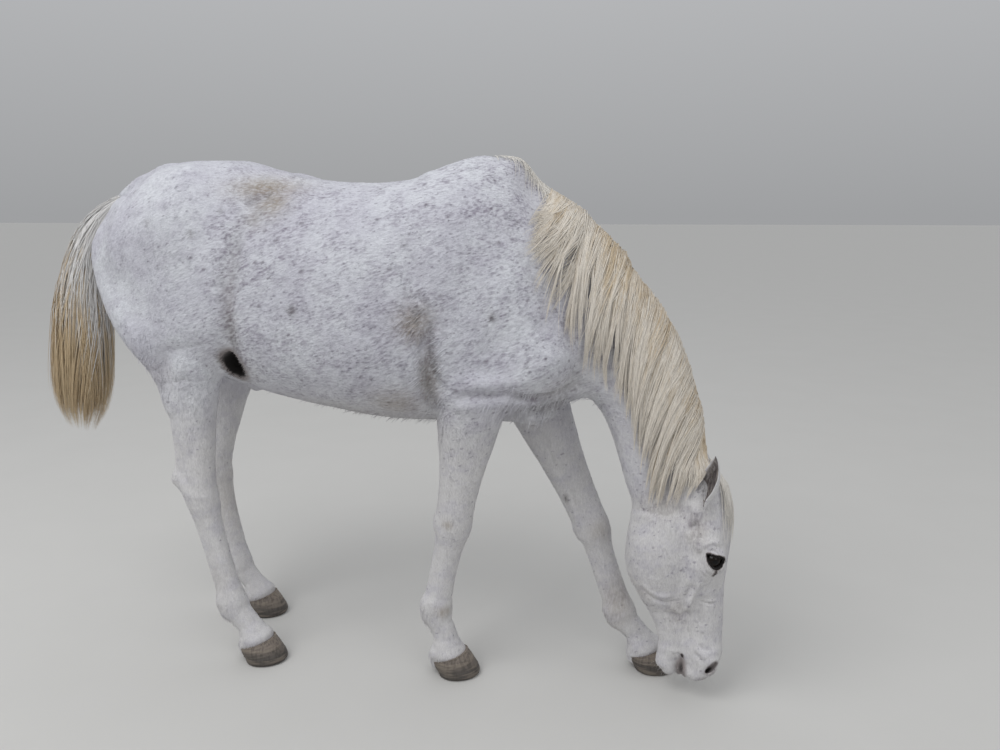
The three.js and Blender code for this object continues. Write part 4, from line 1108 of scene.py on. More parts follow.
# Painted shade: the coat darker in the folds of the flank and behind the elbows, under the belly and the
# breast, on the hips and between the legs.
SHADES = [
    *both([[[-374, 240, 1250], [22, 50, 110], 0.35], [[-404, 235, 1030], [20, 50, 110], 0.65]]),
    [[-60, 0, 768], [360, 210, 50], 0.35],  # under the belly
    *both([[[160, 235, 960], [15, 50, 100], 0.6], [[146, 240, 1104], [26, 50, 18], 0.35]]),
    *both([[[-620, 215, 1250], [60, 60, 40], 0.15], [[-330, 190, 1350], [60, 70, 50], 0.2]]),
    [[430, -100, 845], [120, 60, 26], 0.6],
    [[430, 100, 845], [120, 60, 26], 0.6],
    [[540, 30, 600], [60, 60, 120], 0.3],
    [[-580, -90, 880], [60, 50, 60], 0.3],
]
# Dark bare skin and tear lines round the eyes, nostrils, lips, sheath and coronets, and painted shadow in the
# groin hollow.
BARE_SKIN_AND_SHADOW = [
    *head_blobs([[[-4, 78, 217], [4.5, 24, 10], 2.0], [[-6, 76, 227], [4.5, 24, 9], 1.7]]),  # tear line
    *head_blobs([[[-9, 73, 236], [4.5, 24, 8], 1.1]]),
    *head_blobs([[[0, 46, 535], [20, 24, 30], 0.4], [[-14, 30, 566], [34, 34, 12], 0.4]]),  # nostrils
    *head_blobs([[[-82, 24, 550], [17, 40, 36], 0.8], [[-120, 14, 582], [36, 32, 16], 0.35]]),  # lips
    [[-510, -6, 885], [50, 36, 40], 0.9],  # sheath
    # Painted shadow in the groin hollow, over its dark skin.
    [GROIN, [34, 70, 44], 2.0],
    *[[[leg["coronet"][0], leg["coronet"][1], 62], [70, 70, 12], 0.35] for leg in LEGS.values()],
]
ROAN = [
    *both([[[-300, 200, 1280], [110, 130, 130], 0.6], [[320, 150, 1390], [110, 130, 90], 0.55]]),
    *both([[[-370, 230, 1110], [50, 60, 170], 0.6], [[200, 200, 1000], [60, 60, 160], 0.35]]),
    *head_blobs([[[-150, 60, 66], [56, 70, 36], 0.75], [[-52, 66, 112], [34, 60, 60], 0.7]]),  # throat
    *head_blobs([[[-80, 60, 240], [20, 50, 60], 0.4], [[-100, 50, 372], [26, 50, 44], 0.5]]),
]
DARK_SPOTS = [
    [[-205, -262, 1103], [12, 40, 14], 0.9],
    [[318, -200, 1092], [9, 60, 11], 0.9],
    [[-506, -240, 1300], [9, 40, 9], 0.8],
    [[-640, -230, 1330], [10, 50, 8], 0.6],
    [[477, 60, 517], [9, 30, 14], 1.0],
    [[-430, -240, 1360], [8, 40, 8], 0.8],
    [[95, -265, 1290], [20, 40, 10], 0.4],
    [[-240, 262, 1180], [12, 40, 12], 0.8],
    [[300, 200, 1120], [9, 60, 8], 0.4],
]
CHESTNUTS = [[[215, -62, 560], [10, 16, 26], 1.0], [[505, 48, 520], [10, 16, 22], 1.0]]


def markings(points, cup=None):
    """The soft masks that the coat's colours are mixed by, one value a point each."""
    head, neck_share, leg = regions(points)
    x, z = points[:, 0], points[:, 2]
    trunk_share = 1 - head - leg
    specks = 0.85 * trunk_share + 0.28 * head + 0.16 * leg
    specks *= 1 - 0.7 * ramp(x, -430, -560)
    specks = specks * (1 - 0.5 * neck_share * ramp(z, 1050, 850)) + blobs(points, ROAN)
    stain_and_fold_shade = blobs(points, STAINS_AND_FOLD_SHADE)
    shade = np.maximum(blobs(points, SHADES), blobs(points, DARK_SPOTS))
    # Painted shade in the grooves of the skin's folds and creases.
    shade = np.maximum(shade, 0.7 * ramp(-relief(points), 2.5, 11.0))
    bare = np.maximum(np.minimum(blobs(points, BARE_SKIN_AND_SHADOW), 1), blobs(points, CHESTNUTS))
    for side in SIDES:
        edge, out = lid_edge(points, side)
        bare = np.maximum(bare, ramp(edge, 7.5, 3.0) * (out > 0))
        # The nostrils are painted near black inside: dark skin, with painted shade deep in them.
        centre, axes = nostril_frame(side)
        q = np.linalg.norm((points - centre) @ axes.T / NOSTRIL_RADII, axis=1)
        bare = np.maximum(bare, np.maximum(ramp(q, 1.22, 1.06), 0.4 * ramp(q, 1.8, 1.2)))
    # Where the lips meet is painted near black: the shadow in the crease of the mouth, on dark skin.
    mouth = mouth_path()
    near_mouth = np.nonzero(np.all(np.abs(points - mouth.mean(0)) < 70, axis=1))[0]
    if len(near_mouth):
        apart = np.min(np.linalg.norm(points[near_mouth, None] - mouth[None], axis=2), axis=1)
        bare[near_mouth] = np.maximum(bare[near_mouth], ramp(apart, 7.5, 3.5))
    if cup is not None:
        stain_and_fold_shade = np.maximum(stain_and_fold_shade, 0.9 * cup)
        shade = np.maximum(shade, cup)
    return {
        "specks": specks,
        "stain_and_fold_shade": stain_and_fold_shade,
        "shade": shade,
        "bare": bare,
        "down": np.clip(head + leg + 0.6 * neck_share, 0, 1),
    }


def ring_quads(rows, sides):
    """The quads between rows of points that each close into a ring."""
    row, here = np.meshgrid(np.arange(rows - 1), np.arange(sides), indexing="ij")
    first, following = row * sides + here, row * sides + (here + 1) % sides
    return np.stack([first, following, following + sides, first + sides], axis=-1).reshape(-1, 4)


def set_masks(mesh, masks):
    for name, values in masks.items():
        layer = mesh.attributes.new(name, "FLOAT", "POINT")
        layer.data.foreach_set("value", np.asarray(values, np.float32))


BAKE_EDGE = 0.01  # room round the parts of the bake
BAKE_HIGH = 0.48  # how high each part is on it


def turn_round(side, front):
    """The turn round an axis, from 0 to 1."""
    return np.arctan2(side, front) / math.tau + 0.5


def unwrap(points):
    """The skin laid flat: trunk, neck, head and legs are rolled out round their own axes, side by side."""
    head, neck_share, leg = regions(points)
    x, y, z = points.T
    down_neck = (points - NECK_BASE[0]) @ unit([0.6, 0, -0.8])
    over_neck = (points - NECK[5][0]) @ unit([0.8, 0, 0.6])
    # Each part's left edge and width on the bake, turn round its axis and share of the way along it.
    rolls = [
        (BAKE_EDGE, 0.48, turn_round(y, z - 1130), (x + 920) / 1500),
        (0.51, 0.23, turn_round(y + 10, over_neck), (down_neck + 100) / 750),
        (0.76, 0.23, turn_round(y + 40, x - 850), z / 760),
    ]
    for number, row in enumerate(LEGS.values()):
        (upper, middle), (_, fetlock) = leg_bones(row).values()
        bones = np.array([row["coronet"], fetlock, middle, upper], float)
        axis_x, axis_y = [np.interp(z, bones[:, 2], bones[:, axis]) for axis in (0, 1)]
        rolls.append((BAKE_EDGE + 0.245 * number, 0.225, turn_round(y - axis_y, x - axis_x), z / 1000))
    part = np.argmax(np.stack([1 - head - neck_share - leg, neck_share, head, leg]), axis=0)
    part = np.where(part == 3, 3 + (x < 0) * 2 + (y > 0), part)
    uv = np.zeros((len(points), 2))
    for number, (left, width, turn, share) in enumerate(rolls):
        bottom = BAKE_EDGE if number < 3 else 0.5 + BAKE_EDGE
        laid = np.column_stack([left + width * turn, bottom + BAKE_HIGH * np.clip(share, 0, 1)])
        uv[part == number] = laid[part == number]
    return uv


# ---------------------------------------------------------------- tufts and strands
def set_uv(mesh, places):
    """OFBake: where each point of the mesh lies on the bake."""
    layer = mesh.uv_layers.new(name="OFBake")
    corner = np.empty(len(mesh.loops), np.int32)
    mesh.loops.foreach_get("vertex_index", corner)
    layer.data.foreach_set("uv", places[corner].astype(np.float32).ravel())


PATCH = 0.0015  # half of the patch that one tuft or strand has on the bake


def tuft_piece(name, roots, normals, lie, length, width, rise, material):
    """Short tufts: each one a flat four-sided wedge that grows out of the skin and lies along it."""
    side = np.cross(lie, normals)
    half = side * (width / 2)[:, None]
    sunk = roots - normals * 0.8
    ridge = roots + lie * (length * 0.35)[:, None] + normals * rise[:, None]
    tip = roots + lie * length[:, None] + normals * (rise * 0.7)[:, None]
    points = np.stack([sunk - half, sunk + half, ridge, tip], axis=1).reshape(-1, 3)
    first = 4 * np.arange(len(roots))[:, None]
    faces = np.concatenate([first + f for f in ([0, 1, 2], [0, 2, 3], [2, 1, 3], [1, 0, 3])])
    mesh = new_mesh(name, points, [faces])
    masks = {key: np.repeat(values, 4) for key, values in markings(roots).items()}
    set_masks(mesh, masks)
    corners = np.array([[-1, -1], [1, -1], [0, 0.2], [0, 1]]) * PATCH
    set_uv(mesh, (unwrap(roots)[:, None] + corners).reshape(-1, 2))
    shading = np.stack([normals - 0.25 * side, normals + 0.25 * side, normals, normals + 0.2 * lie], axis=1)
    soften(mesh, shading.reshape(-1, 3)[faces.ravel()])
    return add_object(name, mesh, material)


def strand_mesh(name, paths, normals, width, thickness):
    """Tapered strands with a ridge along paths [strand, step, 3], and how far along each point lies."""
    count, steps = paths.shape[:2]
    ahead = unit(np.gradient(paths, axis=1))
    side = unit(np.cross(ahead, normals))
    out = np.cross(side, ahead)
    t = np.linspace(0, 1, steps)
    taper = np.minimum(1, 0.55 + 2.5 * t) * (1 - t**2.2) ** 0.8
    wide = side * (width[:, None] * taper)[..., None]
    high = out * (thickness[:, None] * np.maximum(taper, 0.15))[..., None]
    rings = np.stack([paths - wide, paths + high, paths + wide], axis=2)[:, :-1].reshape(count, -1, 3)
    points = np.concatenate([rings, paths[:, -1:]], axis=1)
    size = points.shape[1]
    quads = ring_quads(steps - 1, 3)
    tips = np.array([[size - 4 + e, size - 4 + (e + 1) % 3, size - 1] for e in range(3)] + [[0, 2, 1]])
    first = size * np.arange(count)[:, None, None]
    faces = [(first + quads).reshape(-1, 4), (first + tips).reshape(-1, 3)]
    mesh = new_mesh(name, points.reshape(-1, 3), faces)
    top = np.stack([out - 0.7 * side, out, out + 0.7 * side], axis=2)[:, :-1].reshape(count, -1, 3)
    top = np.concatenate([top, out[:, -1:]], axis=1)
    under = np.stack([-out - 0.7 * side, out, 0.7 * side - out], axis=2)[:, :-1].reshape(count, -1, 3)
    under = np.concatenate([under, -out[:, -1:]], axis=1)
    shading = []
    for corners, below in [(quads, np.arange(len(quads)) % 3 == 2), (tips, np.arange(4) > 1)]:
        shading.append(np.where(below[:, None, None], under[:, corners], top[:, corners]).reshape(-1, 3))
    soften(mesh, np.concatenate(shading))
    share = np.concatenate([np.repeat(t[:-1], 3), [1.0]])
    return mesh, np.tile(share, count), size


STRAND_DEPTH = 0.6  # how thick a strand is, as a share of its half width


def strand_piece(name, strands, width, material):
    """A piece of strands, with half widths between the two given.

    The strands come as paths and normals [strand, step, 3], a place on the bake for each strand, and masks
    with a value for each strand or each step.
    """
    paths, normals, bake, masks = strands
    wide = np.random.default_rng(len(paths)).uniform(*width, len(paths))
    mesh, share, size = strand_mesh(name, paths, normals, wide, wide * STRAND_DEPTH)
    layers = {"along": share}
    for key, values in masks.items():
        if values.ndim == 1:
            layers[key] = np.repeat(values, size)
        else:
            layers[key] = np.column_stack([np.repeat(values[:, :-1], 3, axis=1), values[:, -1:]]).ravel()
    set_masks(mesh, layers)
    spread = np.zeros((len(paths), size, 2))
    spread[..., 0] = np.tile([-PATCH, 0, PATCH], size // 3 + 1)[:size]
    spread[..., 1] = mix(-PATCH, PATCH, share[:size])
    set_uv(mesh, (bake[:, None] + spread).reshape(-1, 2))
    return add_object(name, mesh, material)


def lie_on(groups, starts, wish, length, steps, lift):
    """Paths that start at places and run over the flesh the way of wish(t), lifted off it by lift."""
    point = np.array(starts, float)
    path, normals = [], []
    for i in range(steps + 1):
        t = i / steps
        for _ in range(3):
            point = point + slope_at(groups, point) * (lift - field(groups, point))[:, None]
        normal = slope_at(groups, point)
        path.append(point)
        normals.append(normal)
        way = wish(t)
        ahead = unit(way - normal * dots(way, normal)[:, None])
        point = point + ahead * (length / steps)[:, None]
    return np.stack(path, axis=1), np.stack(normals, axis=1)


# ---------------------------------------------------------------- mane, forelock and tail
# Share of the way from the withers to the poll, root of the hair, its length and its lean towards the head.
MANE = [
    [0, 425, 0, 1412, 240, -0.5],
    [0.12, 513, 0, 1357, 380, -0.16],
    [0.25, 600, -2, 1288, 410, -0.02],
    [0.4, 690, -8, 1190, 380, 0],
    [0.55, 775, -14, 1084, 410, -0.06],
    [0.7, 835, -22, 965, 400, -0.12],
    [0.85, 872, -30, 840, 310, -0.16],
    [0.94, 884, -36, 764, 220, -0.3],
    [1, 890, -38, 716, 150, -0.5],
]
MANE_END = 0.965


def between_guides(table, place, t):
    """Values of a [guide, step, 3] table at a guide number and a share of the way, both broken numbers."""
    guides, steps = table.shape[:2]
    g = np.clip(place, 0, guides - 1.001)
    s = np.clip(t, 0, 1) * (steps - 1.001)
    i, j = g.astype(int), s.astype(int)
    u, v = (g - i)[..., None], (s - j)[..., None]
    return mix(mix(table[i, j], table[i, j + 1], v), mix(table[i + 1, j], table[i + 1, j + 1], v), u)


def mane_strands(count, clumps, steps, seed):
    """Paths of the mane: strands gather in clumps, cross a little and lie in layers over the neck."""
    rng = np.random.default_rng(seed)
    guides, guide_steps = 56, 14
    shares = np.linspace(0, 1, guides)
    x, y, z, length, lean = profile(MANE)(shares).T

    def wish(t):
        return np.column_stack([lean, np.full(guides, -1.8 * (1 - t)), np.full(guides, -1.0)])

    table, normals = lie_on(FLESH, np.column_stack([x, y + 10, z]), wish, length, guide_steps, 4.0)
    clump_at = np.clip((np.arange(clumps) + rng.uniform(-0.4, 1.4, clumps)) / clumps, 0, 1) ** 0.85
    clump_reach = rng.uniform(0.7, 1.05, clumps)
    clump_lift = rng.uniform(0, 1, clumps)
    clump_lean = rng.normal(0, 0.03, clumps)
    clump_gold = rng.uniform(0, 1, clumps) ** 2
    clump_turn = rng.uniform(0, math.tau, clumps)
    mine = rng.integers(0, clumps, count)
    own = np.clip(clump_at[mine] + rng.normal(0, 0.014, count), 0, 1) * MANE_END
    fringe = ramp(own, 0, 0.13) * ramp(own, MANE_END, 0.86)
    reach = clump_reach[mine] * rng.uniform(0.45, 1.0, count) ** mix(0.8, 0.55, fringe)
    t = np.linspace(0, 1, steps)[None, :]
    pull = 0.88 * ramp(t, 0.05, 0.85)
    wave = 0.007 * np.sin(5.5 * t + clump_turn[mine][:, None]) * t + clump_lean[mine][:, None] * t**1.6
    stray = rng.normal(0, 1, (count, 1)) * np.where(rng.uniform(size=(count, 1)) < 0.06, 0.03, 0.004)
    place = mix(own[:, None], clump_at[mine][:, None], pull) + wave + stray * t
    path = between_guides(table, place * (guides - 1), t * reach[:, None])
    out = between_guides(normals, place * (guides - 1), t * reach[:, None])
    depth = clump_lift[mine][:, None] + rng.uniform(-0.25, 0.25, (count, 1))
    full = mix(0.15, 1.0, fringe)[:, None]
    own_lift = rng.uniform(0, 5, (count, 1)) * ramp(t, 0, 0.12)
    layer = 17 * np.clip(depth, 0, 1) * ramp(t, 0, 0.4) * mix(1.0, 0.6, t)
    lift = -3 + 4.5 * ramp(t, 0, 0.06) + full * (layer + own_lift)
    path = path + out * lift[..., None]
    path[..., 1] += rng.normal(0, 7, (count, 1)) * ramp(t, 0.25, 0.0)
    path[..., 2] += full * 5 * np.exp(-(((t - 0.12) / 0.06) ** 2)) * rng.uniform(0.1, 1, (count, 1))
    tone = np.clip(0.5 + 0.28 * np.sin(3.1 * clump_turn[mine]) + rng.normal(0, 0.2, count), 0, 1)
    patch = np.exp(-(((own - 0.34) / 0.16) ** 2)) + 0.8 * np.exp(-(((own - 0.93) / 0.09) ** 2))
    # Golden patches of the mane's own, and strands of the lower layers more golden towards their roots as
    # painted shade under the upper layers.
    gold = 0.08 + 0.34 * patch[:, None] * ramp(t, 0.8, 0.05) + 0.25 * (1 - depth) * ramp(t, 0.9, 0.2)
    gold = gold + 0.5 * clump_gold[mine][:, None] * ramp(t, 0.8, 0.3)
    gold = np.clip(gold + rng.normal(0, 0.12, (count, 1)), 0, 1)
    bake = np.column_stack([0.02 + 0.96 * own, 0.02 + 0.96 * rng.uniform(0, 1, count)])
    return path, unit(out), bake, {"tone": tone, "gold": gold}


def wither_strands(count, steps, seed):
    """Thin hair along the withers, where the mane begins."""
    rng = np.random.default_rng(seed)
    share = rng.uniform(0, 1, count) ** 0.5
    x = mix(262.0, 446.0, share)
    crest_height = profile([[262, 1498], [330, 1488], [385, 1452], [425, 1412], [440, 1400]])(x)[:, 0]
    length = mix(70.0, 150.0, share) * rng.uniform(0.6, 1.1, count)
    drift = rng.uniform(-0.4, 0.4, count)

    def wish(t):
        return np.column_stack([0.8 + drift, -0.6 + 0.5 * drift - 0.5 * t, np.full(count, -0.9)])

    starts = np.column_stack([x, rng.uniform(-6, 12, count), crest_height])
    path, out = lie_on([BODY], starts, wish, length, steps - 1, 2.0)
    path = path + out * (rng.uniform(0, 5, (count, 1)) * np.linspace(0.3, 1, steps))[..., None]
    bake = np.column_stack([0.02 + 0.3 * share, rng.uniform(0.02, 0.98, count)])
    return path, out, bake, {"tone": rng.uniform(0, 0.6, count), "gold": np.full((count, steps), 0.1)}


FORELOCK_LINE = [[0, 892, -38, 712], [0.4, 905, -41, 682], [0.75, 915, -44, 655], [1, 921, -46, 632]]


def forelock_strands(count, steps, seed):
    """Thin locks from the poll down the forehead, more of them on the near side."""
    rng = np.random.default_rng(seed)
    share = rng.uniform(0, 1, count) ** 0.7
    out = np.clip(rng.normal(-8, 15, count), -46, 34) * mix(0.35, 1.0, share)
    starts = profile(FORELOCK_LINE)(share) + np.column_stack([np.zeros(count), out, np.zeros(count)])
    clumps = 26
    mine = rng.integers(0, clumps, count)
    clump_lean = rng.normal(-0.03, 0.13, clumps)
    lean = clump_lean[mine] + 0.006 * out + rng.normal(0, 0.05, count)
    length = mix(150.0, 200.0, share) * rng.uniform(0.3, 1.0, count)
    wave = rng.uniform(0, math.tau, clumps)[mine]

    def wish(t):
        sideways = lean + 0.1 * np.sin(5 * t + wave)
        return np.column_stack([np.full(count, 0.25), sideways, np.full(count, -1.0)])

    path, normals = lie_on([HEAD], starts, wish, length, steps - 1, 2.0)
    lift = rng.uniform(0, 3, (count, 1)) * np.linspace(0.6, 1, steps)[None, :]
    path = path + normals * lift[..., None]
    bake = np.column_stack([0.5 + out / 120, 0.02 + 0.96 * share])
    tone = rng.uniform(0, 0.6, count)
    gold = np.clip(0.14 - 0.2 * np.linspace(0, 1, steps) + rng.normal(0, 0.1, (count, 1)), 0, 1)
    return path, normals, bake, {"tone": tone, "gold": gold}


TAIL = [
    [0, -850, 0, 1412, 30],
    [0.06, -898, 0, 1396, 46],
    [0.13, -945, 0, 1366, 56],
    [0.22, -996, 0, 1306, 68],
    [0.32, -1030, 0, 1232, 80],
    [0.46, -1066, 0, 1120, 94],
    [0.62, -1086, 0, 980, 106],
    [0.78, -1104, 0, 840, 112],
    [0.92, -1118, 0, 720, 94],
    [1, -1124, 0, 646, 44],
]


def tail_strands(count, clumps, steps, seed):
    """Paths of the tail: strands leave the dock all round and hang to the tip in clumps."""
    rng = np.random.default_rng(seed)
    at = profile(TAIL)
    clump_angle = math.tau * (np.arange(clumps) + rng.uniform(0, 1, clumps)) / clumps
    clump_out = rng.uniform(0.2, 1, clumps) ** 0.5
    clump_first = rng.uniform(0, 0.34, clumps)
    clump_last = rng.uniform(0.84, 1.0, clumps)
    clump_turn = rng.uniform(0, math.tau, clumps)
    mine = rng.integers(0, clumps, count)
    first = np.clip(clump_first[mine] + rng.uniform(-0.05, 0.05, count), 0.0, 0.42)
    last = np.clip(clump_last[mine] - 0.3 * rng.uniform(0, 1, count) ** 2.5, first + 0.2, 1.0)
    t = np.linspace(0, 1, steps)[None, :]
    share = mix(first[:, None], last[:, None], t)
    angle = clump_angle[mine][:, None] + rng.normal(0, 0.3, (count, 1)) * (1 - 0.5 * t)
    swing = 0.22 * np.sin(5 * share + clump_turn[mine][:, None]) + 0.25 * clump_turn[mine][:, None] - 0.8
    angle = angle + swing * t
    centre = at(share)
    behind, before = at(share - 0.02)[..., :3], at(share + 0.02)[..., :3]
    rear = unit(np.cross(unit(before - behind), [0, 1, 0]))
    normal = rear * np.cos(angle)[..., None]
    normal[..., 1] += 0.75 * np.sin(angle)
    outness = clump_out[mine][:, None] * rng.uniform(0.7, 1.0, (count, 1))
    spread = mix(0.32, 1.0, ramp(share - first[:, None], 0, 0.3)) * outness
    path = centre[..., :3] + normal * (centre[..., 3] * spread)[..., None]
    tone = np.clip(0.5 + 0.3 * np.sin(2.7 * clump_turn[mine]) + rng.normal(0, 0.22, count), 0, 1)
    inner = 0.5 - 0.5 * np.cos(angle)
    golden = share + 0.22 * inner + 0.1 * rng.normal(0, 1, (count, 1))
    gold = ramp(golden, 0.42, 0.8) * ramp(share, 1.25, 0.85)
    bake = np.column_stack([0.02 + 0.96 * (angle[:, 0] / math.tau % 1), 0.02 + 0.96 * first / 0.42])
    return path, unit(normal), bake, {"tone": tone, "gold": gold}


# ---------------------------------------------------------------- materials
def paint(code):
    """A colour from its sRGB code, as linear values."""
    values = [int(code[i:i + 2], 16) / 255 for i in (1, 3, 5)]
    return tuple(v / 12.92 if v <= 0.04045 else ((v + 0.055) / 1.055) ** 2.4 for v in values) + (1.0,)


class Shader:
    """A node material built up call by call; inputs given as sockets are linked, others are set."""

    def __init__(self, name):
        self.material = bpy.data.materials.new(name)
        self.material.use_nodes = True
        self.tree = self.material.node_tree
        self.surface = self.tree.nodes["Principled BSDF"]
        self.place = self.add("ShaderNodeTexCoord").outputs["Object"]

    def add(self, kind, settings=None, **inputs):
        node = self.tree.nodes.new(kind)
        for key, value in (settings or {}).items():
            setattr(node, key, value)
        for key, value in inputs.items():
            self.put(node.inputs[key.replace("_", " ")], value)
        return node

    def put(self, socket, value):
        if isinstance(value, bpy.types.NodeSocket):
            self.tree.links.new(value, socket)
        else:
            socket.default_value = value

    def math(self, operation, *values):
        node = self.tree.nodes.new("ShaderNodeMath")
        node.operation = operation
        for socket, value in zip(node.inputs, values):
            self.put(socket, value)
        return node.outputs[0]

    def stretched(self, scale, tilt=0.0):
        """Places squeezed along axes that are tilted about Y, so that a pattern on them is drawn out."""
        settings = {"vector_type": "TEXTURE"}
        sockets = {"Vector": self.place, "Rotation": (0, tilt, 0), "Scale": [1 / v for v in scale]}
        return self.add("ShaderNodeMapping", settings, **sockets).outputs[0]

    def noise(self, vector, scale, detail=2.0, roughness=0.5):
        sockets = {"Vector": vector, "Scale": scale, "Detail": detail, "Roughness": roughness}
        return self.add("ShaderNodeTexNoise", **sockets).outputs["Fac"]

    def rescale(self, value, low, high, to_low=0.0, to_high=1.0):
        node = self.tree.nodes.new("ShaderNodeMapRange")
        node.interpolation_type = "SMOOTHSTEP"
        for socket, v in zip(node.inputs, (value, low, high, to_low, to_high)):
            self.put(socket, v)
        return node.outputs[0]

    def blend(self, share, a, b):
        node = self.tree.nodes.new("ShaderNodeMix")
        node.data_type = "RGBA"
        self.put(node.inputs[0], share)
        self.put(node.inputs[6], a)
        self.put(node.inputs[7], b)
        return node.outputs[2]

    def times(self, a, b):
        return self.math("MULTIPLY", a, b)

    def scaled(self, vector, factor):
        node = self.add("ShaderNodeVectorMath", {"operation": "SCALE"}, Scale=factor)
        self.put(node.inputs[0], vector)
        return node.outputs[0]

    def dressed(self, colour, **sockets):
        """Sets the surface's colour and other sockets, with _ for each space in their names."""
        self.put(self.surface.inputs["Base Color"], colour)
        for key, value in sockets.items():
            self.put(self.surface.inputs[key.replace("_", " ")], value)
        return self.material

    def mask(self, name):
        return self.add("ShaderNodeAttribute", {"attribute_name": name}).outputs["Fac"]

    def bump(self, height, strength, distance):
        node = self.add("ShaderNodeBump", Height=height, Strength=strength, Distance=distance)
        self.put(self.surface.inputs["Normal"], node.outputs[0])


COAT_TILT = -0.34  # the hair of the barrel lies this far below the level


def specks(s, scale, radius, density, stretch):
    """Small flecks: cells of a Voronoi pattern, of which a share is filled."""
    wobble = s.add("ShaderNodeVectorMath", {"operation": "ADD"})
    s.put(wobble.inputs[0], s.stretched(stretch, COAT_TILT))
    noise = s.add("ShaderNodeTexNoise", Vector=s.place, Scale=130)
    s.put(wobble.inputs[1], s.scaled(noise.outputs["Color"], 0.006))
    cells = s.add("ShaderNodeTexVoronoi", Vector=wobble.outputs[0], Scale=scale)
    draw = s.add("ShaderNodeSeparateColor")
    s.put(draw.inputs[0], cells.outputs["Color"])
    size = s.times(radius, s.math("ADD", 0.45, draw.outputs[1]))
    edge = s.rescale(cells.outputs["Distance"], size, s.times(size, 0.1))
    filled = s.math("LESS_THAN", draw.outputs[0], density)
    return s.times(edge, filled)


def coat_material(name, bumpy):
    """The coat's colours and fine hair, on the skin and on the tufts alike."""
    s = Shader(name)
    down = s.mask("down")
    bare = s.mask("bare")
    flecked = s.mask("specks")
    back = s.stretched((0.3, 1, 1), COAT_TILT)
    fall = s.stretched((1, 1, 0.3))
    hair_back, hair_fall = s.noise(back, 420, 3), s.noise(fall, 420, 3)
    up = s.math("SUBTRACT", 1.0, down)
    hair = s.math("ADD", s.times(hair_fall, down), s.times(hair_back, up))
    coarse_back, coarse_fall = s.noise(back, 170, 3), s.noise(fall, 170, 3)
    coarse = s.math("ADD", s.times(coarse_fall, down), s.times(coarse_back, up))
    broad = s.noise(s.place, 5, 4, 0.6)
    patchy = s.noise(s.stretched((0.7, 1, 1), COAT_TILT), 24, 4, 0.62)
    base = s.blend(s.rescale(broad, 0.35, 0.65), paint("#d6d8de"), paint("#c8c8d1"))
    base = s.blend(s.times(down, 0.85), base, paint("#d2d0cf"))
    base = s.blend(s.times(s.rescale(patchy, 0.42, 0.7), 0.4), base, paint("#b8b6c1"))
    clouded = s.times(s.rescale(patchy, 0.38, 0.66, 0.35, 1.15), flecked)
    roan = s.times(s.rescale(coarse, 0.4, 0.7), s.times(clouded, 0.75))
    base = s.blend(roan, base, paint("#9893a0"))
    fine = specks(s, 150, 0.5, s.times(clouded, 0.55), (0.5, 1, 0.95))
    large = specks(s, 80, 0.42, s.times(clouded, s.times(flecked, 0.22)), (0.5, 1, 0.9))
    base = s.blend(s.times(fine, 0.6), base, paint("#807a88"))
    base = s.blend(s.times(large, 0.65), base, paint("#716a74"))
    # Brownish stains, dirt and the insides of the ears, and painted shade along the flank folds.
    stain_and_fold_shade = s.times(s.mask("stain_and_fold_shade"), s.rescale(coarse, 0.25, 0.6, 0.45, 1.0))
    base = s.blend(stain_and_fold_shade, base, paint("#978c7d"))
    # Painted shade of the folds, grooves and hollows, with the dark spots and the insides of the ears, in one
    # darker colour.
    shade = s.times(s.mask("shade"), s.rescale(coarse, 0.25, 0.6, 0.5, 1.0))
    base = s.blend(shade, base, paint("#585152"))
    # Dark bare skin, and painted shadow in the groin hollow, in the nostrils and where the lips meet.
    base = s.blend(s.rescale(bare, 0.08, 0.55, 0.0, 0.85), base, paint("#7f7674"))
    base = s.blend(s.rescale(bare, 0.55, 0.92), base, paint("#191514"))
    streak = s.rescale(hair, 0.3, 0.7, 0.9, 1.05)
    if bumpy:
        s.bump(s.math("ADD", s.times(hair, 0.5), coarse), 0.55, 0.0022)
    sheen = {"Sheen_Weight": 0.15, "Sheen_Roughness": 0.5}
    return s.dressed(s.scaled(base, streak), Roughness=0.82, Specular_IOR_Level=0.25, **sheen)


def hair_material(name, pale, golden, dark):
    """Mane and tail hair: pale or golden by its mask, darker streaks, and fine lines along the strand."""
    s = Shader(name)
    tone = s.mask("tone")
    fleck = s.noise(s.stretched((1, 1, 0.12)), 60, 3, 0.6)
    mottled = s.math("ADD", s.mask("gold"), s.times(s.math("SUBTRACT", fleck, 0.5), 0.9))
    base = s.blend(s.rescale(mottled, 0.05, 0.95), paint(pale), paint(golden))
    streak = s.times(s.rescale(mottled, 0.3, 1.0, 0.15, 1.0), s.rescale(tone, 0.45, 1.0))
    base = s.blend(s.times(streak, 0.6), base, paint(dark))
    fine = s.noise(s.stretched((1, 1, 0.06)), 700, 2)
    colour = s.scaled(base, s.rescale(fine, 0.3, 0.7, 0.86, 1.08))
    return s.dressed(colour, Roughness=0.5, Specular_IOR_Level=0.35)


def horn_material():
    s = Shader("hoof_horn")
    split = s.add("ShaderNodeSeparateXYZ")
    s.put(split.inputs[0], s.place)
    ring = s.noise(s.stretched((0.12, 0.12, 1)), 110, 3)
    streak = s.noise(s.stretched((1, 1, 0.08)), 160, 3)
    base = s.blend(s.rescale(split.outputs[2], 0.02, 0.06), paint("#4b4642"), paint("#7d736a"))
    base = s.blend(s.times(s.rescale(streak, 0.42, 0.66), 0.6), base, paint("#3a3531"))
    base = s.blend(s.times(s.rescale(ring, 0.45, 0.62), 0.35), base, paint("#968b7d"))
    s.bump(s.math("ADD", ring, s.times(streak, 0.5)), 0.5, 0.002)
    return s.dressed(base, Roughness=0.58)


